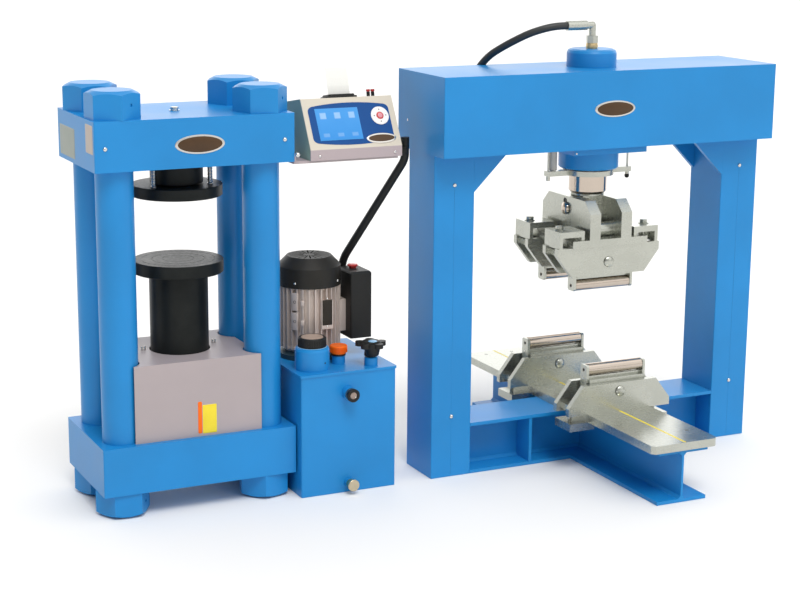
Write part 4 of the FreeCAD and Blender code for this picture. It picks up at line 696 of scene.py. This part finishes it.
class TESTER_OT_power_pack(Piece, bpy.types.Operator):
    """Add the window glass, drain disc, cap discs and gasket of the power pack"""

    bl_idname = "tester.power_pack"
    bl_label = "Power pack fittings"

    def execute(self, context):
        spot = front_middle(*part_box("level_window"))
        turned("window_ring", "machine", "black_plastic",
               [(15.5, -1.5), (15.8, 0), (16.2, 1), (16.4, 3), (16.4, 7), (15.2, 8.6), (9.6, 8.6),
                (9.0, 6.5), (0.2, 6.2)], spot, "-Y", 48)
        turned("window_glass", "machine", "window_glass",
               [(8.6, 5.5), (8.6, 6.8), (6.4, 7.6), (2.6, 8.0)], spot, "-Y", 40)
        fixing("window_star", [(1.8, 7.4), (1.8, 8.4), (1.2, 8.8)],
               (spot[0] + 0.0045, spot[1], spot[2] - 0.0035), "-Y", 12)
        turned("drain_disc", "machine", "zinc_yellow",
               [(12.5, -1), (14.2, 0), (14.6, 1.5), (14.6, 6), (13.6, 7.2), (2, 7.4)],
               front_middle(*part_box("drain_plug")), "-Y", 48)
        centre = top_middle("filter_cap")
        grip_ring("filter_cap_grips", "filter_cap", "black_plastic", centre, 33.6, 20, 40, 1.5)
        turned("filter_cap_disc", "filter_cap", "wood_disc",
               [(27, -2.2), (27.2, -0.8), (26.4, 0.4), (6, 0.8)], centre, sides=56)
        # A pale blue ring on the filter housing's shoulder: a painted highlight that stands in for the
        # shine there.
        turned("filter_painted_highlight", "machine", "light_blue",
               [(33.8, -1), (36.9, -0.6), (36.9, 0.3), (35.6, 1.3), (33.8, 1.5)],
               (centre[0], centre[1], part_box("filter_housing")[1].z - 0.001), sides=64)
        # A dark disc in the filter housing: painted shade that stands in for the dark inside of a hole.
        turned("housing_hole_shade", "machine", "dark_plate", [(2.2, -0.6), (2.2, 0.3), (1.6, 0.3), (0.2, 0)],
               (centre[0] + 0.0177, centre[1] - 0.0385, 0.326), (math.pi / 2, 0, 0.43), 16)
        centre = top_middle("filler_cap")
        radius = (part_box("filler_cap")[1].x - centre[0]) / MM
        grip_ring("filler_cap_grips", "filler_cap", "orange_plastic", centre, radius - 0.4, 14, 36, 0.9)
        turned("filler_gasket", "machine", "black_plastic",
               [(15.5, 0), (18.0, 0.3), (18.0, 3.6), (15.5, 4)],
               (centre[0], centre[1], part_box("filler_cap")[0].z + 0.012), sides=40)
        centre = (TANK_X + 0.0725, TANK_Y - 0.118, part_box("release_knob")[1].z)
        turned("knob_cap", "release_knob", "light_blue",
               [(10.6, -1.2), (11.0, 0.4), (10.2, 1.4), (6, 2.0), (2, 2.1)], centre, sides=48)
        turned("knob_skirt", "release_knob", "black_plastic",
               [(14.5, -34), (15.5, -33), (19.5, -13), (19.5, -4)], centre, sides=48)
        return {"FINISHED"}


def top_middle(node):
    """The middle of a node's top, in metres."""
    low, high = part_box(node)
    return ((low.x + high.x) / 2, (low.y + high.y) / 2, high.z)


def front_middle(low, high):
    """The middle of a box's front, in metres."""
    return ((low.x + high.x) / 2, low.y, (low.z + high.z) / 2)


def outward_turn(way):
    """The turn that points a piece's own Z along a direction."""
    return Vector(way).to_track_quat("Z", "Y").to_euler()


class TESTER_OT_motor(Piece, bpy.types.Operator):
    """Add the motor's blank plate, foot pads and cowl screws"""

    bl_idname = "tester.motor"
    bl_label = "Motor fittings"

    def execute(self, context):
        low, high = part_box("fan_cowl")
        axis_x, axis_y = (low.x + high.x) / 2, (low.y + high.y) / 2
        radius = (high.x - low.x) / 2

        def off_axis(angle, reach, z):
            return Vector((axis_x + math.cos(angle) * reach, axis_y + math.sin(angle) * reach, z))

        for index in range(4):
            angle = MOTOR_FOOT_WAY + math.radians(90 * index)
            fixing("cowl_screw_%d" % index, [(3.4, -0.6), (3.4, 0.8), (2.6, 2.0), (1.2, 2.6)],
                   off_axis(angle, radius, low.z + 0.013),
                   outward_turn((math.cos(angle), math.sin(angle), 0)), 20)
        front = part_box("motor_body")[0].y
        plate_x, plate_z, rivet_off = axis_x + 0.0145, 0.4285, 0.0347
        plate("motor_plate", "machine", "dark_plate", 0.026, 0.064, 0.0012,
              (plate_x, front, plate_z), "-Y", 0.002)
        for index, side in enumerate((1, -1)):
            fixing("plate_rivet_%d" % index, [(1.8, -0.4), (1.6, 0.8), (0.8, 1.4)],
                   (plate_x, front, plate_z + side * rivet_off), "-Y", 14)
        reach = radius - 0.0045
        way = Vector((math.cos(MOTOR_FOOT_WAY), math.sin(MOTOR_FOOT_WAY), 0))
        for index, z in enumerate((0.4555, 0.4065)):
            spot = off_axis(MOTOR_FOOT_WAY, reach, z)
            turned_block("foot_pad_%d" % index, "machine", "motor_metal", (15, 12, 44), spot,
                         (0, 0, MOTOR_FOOT_WAY - math.pi / 2), 1.2)
            # A black disc in each foot pad: painted shade that stands in for the dark inside of its bolt
            # hole.
            turned("foot_hole_shade_%d" % index, "machine", "black_plastic",
                   [(3.6, 0), (3.6, 0.9), (2.9, 0.9), (2.7, 0.3), (0.2, 0.3)], spot + way * 0.0056,
                   outward_turn(way), 20)
        for index, z in enumerate((0.453, 0.403)):
            turned_block("foot_lug_%d" % index, "machine", "motor_metal", (9, 13, 13),
                         off_axis(MOTOR_LUG_WAY, reach + 0.002, z),
                         (0, 0, MOTOR_LUG_WAY - math.pi / 2), 2.0)
        return {"FINISHED"}


def turned_block(name, body, slot, extent, place, turn, bevel):
    """A bevelled block of a size in millimetres, turned about its middle."""
    clear_selection()
    bpy.ops.mesh.primitive_cube_add(size=1)
    bpy.context.object.scale = [side * MM for side in extent]
    apply_place()
    rounded(bevel * MM, 3)
    return settle(name, body, slot, place, turn)


class TESTER_OT_console(Piece, bpy.types.Operator):
    """Replace the keypad film and add the keys, screws, badge and posts' sleeves"""

    bl_idname = "tester.console"
    bl_label = "Console fittings"

    def execute(self, context):
        flat = panel_turn()
        film = bowed_plate("keypad_film", "machine", "blue_film", (104.6, 46.8), 13.0, 7.0, 0.7,
                           on_panel(-1.4, 63.2), flat)
        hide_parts("keypad_membrane")
        pad_x, pad_y, dot_radius = 76.6, 79.1, 15.2
        for index in range(4):
            angle = math.pi / 2 * index
            spot = on_panel(pad_x + dot_radius * math.cos(angle), pad_y + dot_radius * math.sin(angle), 2.6)
            turned("key_dot_%d" % index, "arrow_pad", "black_plastic", [(1.5, 0), (1.4, 0.35)], spot,
                   flat, 16)
        turned("enter_cap", "enter_button", "pink_key", [(6.2, 0), (6.2, 0.5), (5.2, 0.9), (2.0, 1.1)],
               on_panel(pad_x, pad_y, 3.5), flat, 40)
        badge = on_panel(68.5, 21.7)
        plate("panel_badge_rim", "machine", "silver_rim", 0.078, 0.0265, 0.0022, badge, flat)
        plate("panel_badge_field", "machine", "badge_field", 0.069, 0.0185, 0.0030, badge, flat)
        low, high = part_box("console_front")
        for index, x in enumerate((-95.4, 99.6)):
            fixing("apron_screw_%d" % index, [(3.4, -0.3), (3.3, 0.8), (2.4, 1.9), (1.0, 2.3)],
                   ((low.x + high.x) / 2 + x * MM, low.y, low.z + 0.0105), "-Y", 22)
        low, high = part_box("console_bracket")
        fixing("bracket_bolt", [(6.2, -1), (6.2, 1.2), (5.6, 3.2), (3.8, 5.0), (1.4, 5.8)],
               (low.x + 0.004, low.y - 0.014, 0.8365), "-Y", 30)
        low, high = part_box("printer")
        turned_block("printer_flange", "machine", "black_plastic", (77, 46, 6),
                     ((low.x + high.x) / 2, (low.y + high.y) / 2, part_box("console_front")[1].z - 0.0034),
                     (CASE_TOP_TILT, 0, 0), 1.6)
        low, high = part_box("console_terminals")
        for index, side in enumerate((-6, 6)):
            turned("post_sleeve_%d" % index, "machine", "black_plastic",
                   [(5.4, -0.3), (5.4, 1.2), (4.3, 2.0), (4.3, 13.6)],
                   ((low.x + high.x) / 2 + side * MM, high.y - 0.0082, high.z - 0.0201),
                   (CASE_TOP_TILT, 0, 0), 24)
        return {"FINISHED"}


def panel_turn():
    """The turn that lays a piece on the leaning panel."""
    return (math.pi / 2 - bpy.context.scene.testing_machine.panel_lean, 0, 0)


def on_panel(x, y, out=0.0):
    """A place on the leaning panel, in its own axes and millimetres, out of its face."""
    lean = bpy.context.scene.testing_machine.panel_lean
    low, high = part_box("console_front")
    up = Vector((0, math.sin(lean), math.cos(lean)))
    outward = Vector((0, -math.cos(lean), math.sin(lean)))
    foot = Vector(((low.x + high.x) / 2 + x * MM, low.y, low.z + APRON_HEIGHT))
    return foot + up * y * MM + outward * out * MM


def bowed_plate(name, body, slot, half, corner, bow, thick, place, turn):
    """A plate with round corners whose two long edges bow out, from a closed curve."""
    clear_selection()
    bpy.ops.curve.primitive_bezier_circle_add(radius=1)
    bpy.ops.object.mode_set(mode="EDIT")
    bpy.ops.curve.select_all(action="SELECT")
    bpy.ops.curve.subdivide()
    bpy.ops.object.mode_set(mode="OBJECT")
    curve = bpy.context.object.data
    curve.dimensions = "2D"
    curve.fill_mode = "BOTH"
    curve.extrude = thick / 2 * MM
    curve.resolution_u = 10
    a, b = half[0] * MM, half[1] * MM
    round_off = corner * MM
    span, side = 2 * (a - round_off), 2 * (b - round_off)
    slope = 4 * bow * MM / span
    quarter_reach = round_off * 0.552
    quarter = [((a, -b + round_off), (0, 1)), ((a, b - round_off), (0, 1)),
               ((a - round_off, b), (-1, slope)), ((round_off - a, b), (-1, -slope))]
    stations = quarter + [((-x, -y), (-dx, -dy)) for (x, y), (dx, dy) in quarter]
    reaches = [side / 3, quarter_reach, span / 3, quarter_reach] * 2
    points = curve.splines[0].bezier_points
    for index, (point, (spot, way)) in enumerate(zip(points, stations)):
        point.handle_left_type = "FREE"
        point.handle_right_type = "FREE"
        spot, way = Vector((*spot, 0)), Vector((*way, 0)).normalized()
        point.co = spot
        point.handle_left = spot - way * reaches[index - 1]
        point.handle_right = spot + way * reaches[index]
    bpy.ops.object.convert(target="MESH")
    rounded(0.25 * MM, 2, 50)
    outward = Matrix.Rotation(turn[0], 3, "X") @ Vector((0, 0, thick / 2 * MM))
    return settle(name, body, slot, Vector(place) + outward, turn, 40)


class TESTER_OT_portal(Piece, bpy.types.Operator):
    """Add the portal's badge, plug, screws, seams and guide tube"""

    bl_idname = "tester.portal"
    bl_label = "Portal fittings"

    def execute(self, context):
        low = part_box("top_beam")[0]
        oval_badge("portal_badge", (PORTAL_X - 0.005, low.y, 0.916), 0.117, 0.0415)
        fixing("beam_plug", [(2.6, -0.3), (2.6, 0.5), (1.6, 1.0)], (low.x, 0.072, 0.888), "-X", 16)
        low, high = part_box("portal_columns")
        middle = (high.x - low.x) / 2 - self.settings().column_half
        half_seam = 0.0004
        for side, way in (("left", -1), ("right", 1)):
            x = PORTAL_X + way * middle
            for level, z in (("high", 0.742), ("low", 0.157)):
                fixing("column_screw_%s_%s" % (level, side), DOME, (x, low.y, z), "-Y", 24)
            block("column_seam_" + side, "machine", "deep_paint",
                  (x - half_seam, low.y - 0.0002, 0.006), (x + half_seam, low.y + 0.0004, 0.735), 0.05, 1)
        fixing("flange_screw", [(2.4, -0.3), (2.4, 0.6), (1.5, 1.2)],
               near_portal(-100, -106, 806), "-Y", 16)
        tube_long = 67.5
        turned("guide_tube", "machine", "tan_tube", [(7.6, 2), (8.4, 0), (9.7, 1), (9.7, tube_long)],
               near_portal(-104, 0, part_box("top_beam")[0].z / MM - tube_long), sides=36)
        return {"FINISHED"}


class TESTER_OT_bending(Piece, bpy.types.Operator):
    """Add the bending device's pivot caps, rod end, clamp nuts, saddles, pins and screws"""

    bl_idname = "tester.bending"
    bl_label = "Bending device fittings"

    def execute(self, context):
        cheek, pivot, pivot_z = 61.5, 65.5, 650
        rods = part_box("ram_yoke")[0].z / MM
        turned("rod_ball_nut", "flexure_ram", "black_plastic",
               [(2.4, -6.0), (4.6, -4.6), (6.0, -1.2), (6.0, 2.4), (4.8, 5.0), (4.0, 6.0)],
               near_portal(118, 0, rods), sides=28)
        for side, way in ((-1, "-X"), (1, "+X")):
            turned("pivot_cap_%d" % (side + 2), "flexure_ram", "ground_steel",
                   [(14.6, -3.5), (16.0, -3.2), (16.0, 1.0), (14.4, 3.4), (9.6, 5.6), (3.4, 6.7)],
                   near_portal(side * pivot, 0, pivot_z), way, 32)
            # A black disc on each cheek of the rocker: painted shade that stands in for the dark inside of
            # the hole above the pivot.
            turned("grub_hole_shade_%d" % (side + 2), "rocker", "black_plastic",
                   [(8.4, -0.3), (8.4, 0.3), (7.8, 0.35), (7.4, 0.1), (0.2, 0.1)],
                   near_portal(side * cheek, 6, 667.5), way, 28)
        nut_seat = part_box("upper_roller_frames")[1].z / MM - 8
        for index, (x, y) in enumerate(((-125, -75), (125, -75), (-125, 75), (125, 75))):
            bolt_head("clamp_nut_%d" % index, "rocker", "plated_steel", 18, 8.6,
                      near_portal(x, y, nut_seat), "+Z", 1.8, 0.4 * index)
        gap, deep, half_wide, half_long = 0.8, 9.5, 8, 80.5
        upper, lower = (526, 464, 486), (205, 261, 238)
        for unit, y, (pin, axle_hole_shade, screw) in (("upper_front", -75, upper), ("upper_rear", 75, upper),
                                            ("lower_front", -150, lower), ("lower_rear", 150, lower)):
            carrier = unit + "_carrier"
            low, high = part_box(carrier)
            roller_low, roller_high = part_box(unit + "_roller")
            if unit.startswith("upper"):
                foot, top = roller_high.z / MM + gap, roller_high.z / MM + deep
            else:
                foot, top = roller_low.z / MM - deep, roller_low.z / MM - gap
            block(unit + "_saddle", carrier, "plated_steel",
                  near_portal(-half_long, y - half_wide, foot),
                  near_portal(half_long, y + half_wide, top), 0.8)
            for side, way, face in (("front", "-Y", low.y), ("rear", "+Y", high.y)):
                turned("%s_pin_%s" % (unit, side), carrier, "plated_steel",
                       [(11.0, -0.4), (13.6, -0.2), (13.6, 1.0), (12.2, 2.8), (9.0, 4.6), (4.0, 5.6)],
                       near_portal(0, face / MM, pin), way, 36)
            for side, way, face in (("left", "-X", low.x), ("right", "+X", high.x)):
                across = (face - PORTAL_X) / MM
                # A dark disc on each end of a carrier at the roller's axle: painted shade that stands in
                # for the dark inside of the axle hole.
                turned("%s_axle_%s" % (unit, side), carrier, "dark_plate",
                       [(3.2, -0.3), (3.2, 0.3), (2.6, 0.5), (2.2, 0.1), (0.2, 0.1)],
                       near_portal(across, y, axle_hole_shade), way, 20)
                turned("%s_screw_%s" % (unit, side), carrier, "bright_steel",
                       [(2.6, -0.3), (2.6, 0.5), (1.8, 1.0), (0.8, 1.1)],
                       near_portal(across, y, screw), way, 18)
        return {"FINISHED"}


class TESTER_OT_base(Piece, bpy.types.Operator):
    """Add the bearing plate's scale strips and sunk screws"""

    bl_idname = "tester.base"
    bl_label = "Base fittings"

    def execute(self, context):
        face = PLATE[1].z / MM
        half_strip = 3.5
        for name, first, last in (("front", -481, -189), ("middle", -110, 110), ("rear", 189, 481)):
            block("scale_strip_" + name, "machine", "yellow_plate",
                  near_portal(-half_strip, first, face - 0.1),
                  near_portal(half_strip, last, face + 0.05), 0.02, 1)
        spots = [(side * x, y) for side in (-1, 1) for x, y in ((71, 296), (41, 450))] + [(60, -400)]
        for index, (x, y) in enumerate(spots):
            turned("plate_screw_%d" % index, "machine", "dark_plate",
                   [(4.4, -0.3), (4.4, 0.05), (3.9, 0.08), (2.6, 0.08), (2.4, -0.2), (0.2, -0.2)],
                   near_portal(x, y, face), sides=24)
        return {"FINISHED"}


class TESTER_OT_lines(Piece, bpy.types.Operator):
    """Add the hose's brass adapter and the conduit's connectors"""

    bl_idname = "tester.lines"
    bl_label = "Hose and conduit fittings"

    def execute(self, context):
        turned("hose_adapter", "machine", "brass",
               [(14.3, -2.5), (14.3, 2), (15.2, 3), (15.2, 10), (14.3, 11), (14.3, 14.4)],
               (PORTAL_X, 0.0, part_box("flexure_cylinder")[1].z), sides=44)
        low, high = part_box("cable_conduit")
        conduit_y = 0.013
        turned("conduit_connector", "machine", "black_plastic",
               [(12.4, -1), (12.4, 3), (11.6, 3.6), (12.4, 4.2), (12.4, 13), (11.4, 14), (10.4, 18)],
               (high.x - 0.0132, conduit_y, high.z - 0.024), "-Z", 36)
        turned("conduit_lock_ring", "machine", "black_plastic",
               [(9.8, -0.4), (11.6, 0), (11.6, 7), (10.6, 8), (7, 8.4)],
               (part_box("console_case")[1].x, conduit_y, high.z - 0.014), "+X", 8)
        return {"FINISHED"}


def grip_ring(name, body, slot, centre, radius, tall, count, tooth):
    """Upright ribs round a cap: one rib is shaped and copied, then all are joined."""
    clear_selection()
    bpy.ops.mesh.primitive_cube_add(size=1, location=(radius * MM, 0, -tall * 0.5 * MM))
    bpy.context.object.scale = (tooth * 1.6 * MM, tooth * MM, tall * MM)
    apply_place()
    rounded(tooth * 0.35 * MM, 2)
    rib = bpy.context.object
    made = [rib]
    for index in range(1, count):
        twin = rib.copy()
        twin.data = rib.data.copy()
        bpy.context.scene.collection.objects.link(twin)
        twin.data.transform(Matrix.Rotation(2 * math.pi * index / count, 4, "Z"))
        made.append(twin)
    clear_selection()
    for item in made:
        item.select_set(True)
    bpy.context.view_layer.objects.active = rib
    bpy.ops.object.join()
    return settle(name, body, slot, (centre[0], centre[1], centre[2] - 0.003))


class TESTER_OT_stage(Piece, bpy.types.Operator):
    """Set up the camera, the floor and the light"""

    bl_idname = "tester.stage"
    bl_label = "Stage"

    def execute(self, context):
        aim_camera(self.settings())
        pale_floor()
        soft_light(self.settings())
        context.scene.view_settings.view_transform = "Standard"
        return {"FINISHED"}


def length_setting(name, description, default, least, most):
    """A setting in metres."""
    return bpy.props.FloatProperty(name=name, description=description, default=default, min=least,
                                   max=most, unit="LENGTH")


def angle_setting(name, description, default):
    """A setting in radians."""
    return bpy.props.FloatProperty(name=name, description=description, default=default, subtype="ANGLE")


def light_setting(name, description, default, most=5.0):
    """The strength of a light."""
    return bpy.props.FloatProperty(name=name, description=description, default=default, min=0.0,
                                   max=most)


class TestingMachineSettings(bpy.types.PropertyGroup):
    """Sizes, colours and light that a user would change"""

    paint_colour: bpy.props.FloatVectorProperty(
        name="Paint", description="Colour of the painted frames", subtype="COLOR",
        default=(0.013, 0.258, 0.635), min=0.0, max=1.0)
    screw_inset: length_setting(
        "Screw inset", "From the crosshead's end to its side screw", 0.0249, 0.01, 0.1)
    platen_top: length_setting(
        "Platen back", "Height of the upper platen's back face", 0.7625, 0.5, 1.0)
    spring_bolt_spread: length_setting(
        "Spring bolt radius", "From the ball seat's axis to each spring bolt", 0.080, 0.07, 0.1)
    column_half: length_setting(
        "Column half width", "Half of a portal column's width", 0.055, 0.03, 0.1)
    panel_lean: bpy.props.FloatProperty(
        name="Panel lean", description="How far the console's panel leans back",
        default=0.514872, min=0.0, max=1.5, subtype="ANGLE")
    camera_place: bpy.props.FloatVectorProperty(
        name="Camera", description="Where the camera stands", subtype="TRANSLATION",
        default=(-2.00326, -3.90926, 1.445278))
    lens: bpy.props.FloatProperty(
        name="Lens", description="Focal length", default=81.0, min=10.0, max=300.0, unit="CAMERA")
    yaw: angle_setting("Yaw", "How far the camera looks to the right", 0.449822)
    pitch: angle_setting("Pitch", "How far the camera looks down", 0.225078)
    roll: angle_setting("Roll", "How far the camera leans", 0.008153)
    sky_strength: light_setting("Sky", "Strength of the even light", 0.6)
    wall_strength: light_setting("Bright wall", "Extra strength of the sky low behind the machine", 1.5)
    overhead_strength: light_setting("Overhead", "Extra strength of the sky straight above", 0.6)
    key_strength: light_setting("Key light", "Strength of the lamp high in front", 1.3, 10.0)
    fill_strength: light_setting("Fill light", "Strength of the lamp at the right", 0.5, 10.0)


OPERATORS = (
    TESTER_OT_finishes,
    TESTER_OT_crosshead,
    TESTER_OT_platen_seat,
    TESTER_OT_cover,
    TESTER_OT_power_pack,
    TESTER_OT_motor,
    TESTER_OT_console,
    TESTER_OT_portal,
    TESTER_OT_bending,
    TESTER_OT_base,
    TESTER_OT_lines,
    TESTER_OT_stage,
)


class TESTER_PT_sidebar(bpy.types.Panel):
    """Lists the machine's pieces and settings"""

    bl_label = "Testing machine"
    bl_idname = "TESTER_PT_sidebar"
    bl_space_type = "VIEW_3D"
    bl_region_type = "UI"
    bl_category = "Testing machine"

    def draw(self, context):
        for name in TestingMachineSettings.__annotations__:
            self.layout.prop(context.scene.testing_machine, name)
        for operator in OPERATORS:
            self.layout.operator(operator.bl_idname)


def register():
    bpy.utils.register_class(TestingMachineSettings)
    bpy.types.Scene.testing_machine = bpy.props.PointerProperty(type=TestingMachineSettings)
    for operator in OPERATORS:
        bpy.utils.register_class(operator)
    bpy.utils.register_class(TESTER_PT_sidebar)


def unregister():
    bpy.utils.unregister_class(TESTER_PT_sidebar)
    for operator in reversed(OPERATORS):
        bpy.utils.unregister_class(operator)
    del bpy.types.Scene.testing_machine
    bpy.utils.unregister_class(TestingMachineSettings)


def main():
    register()
    for operator in OPERATORS:
        group, call = operator.bl_idname.split(".")
        getattr(getattr(bpy.ops, group), call)()


if __name__ == "__main__":
    main()
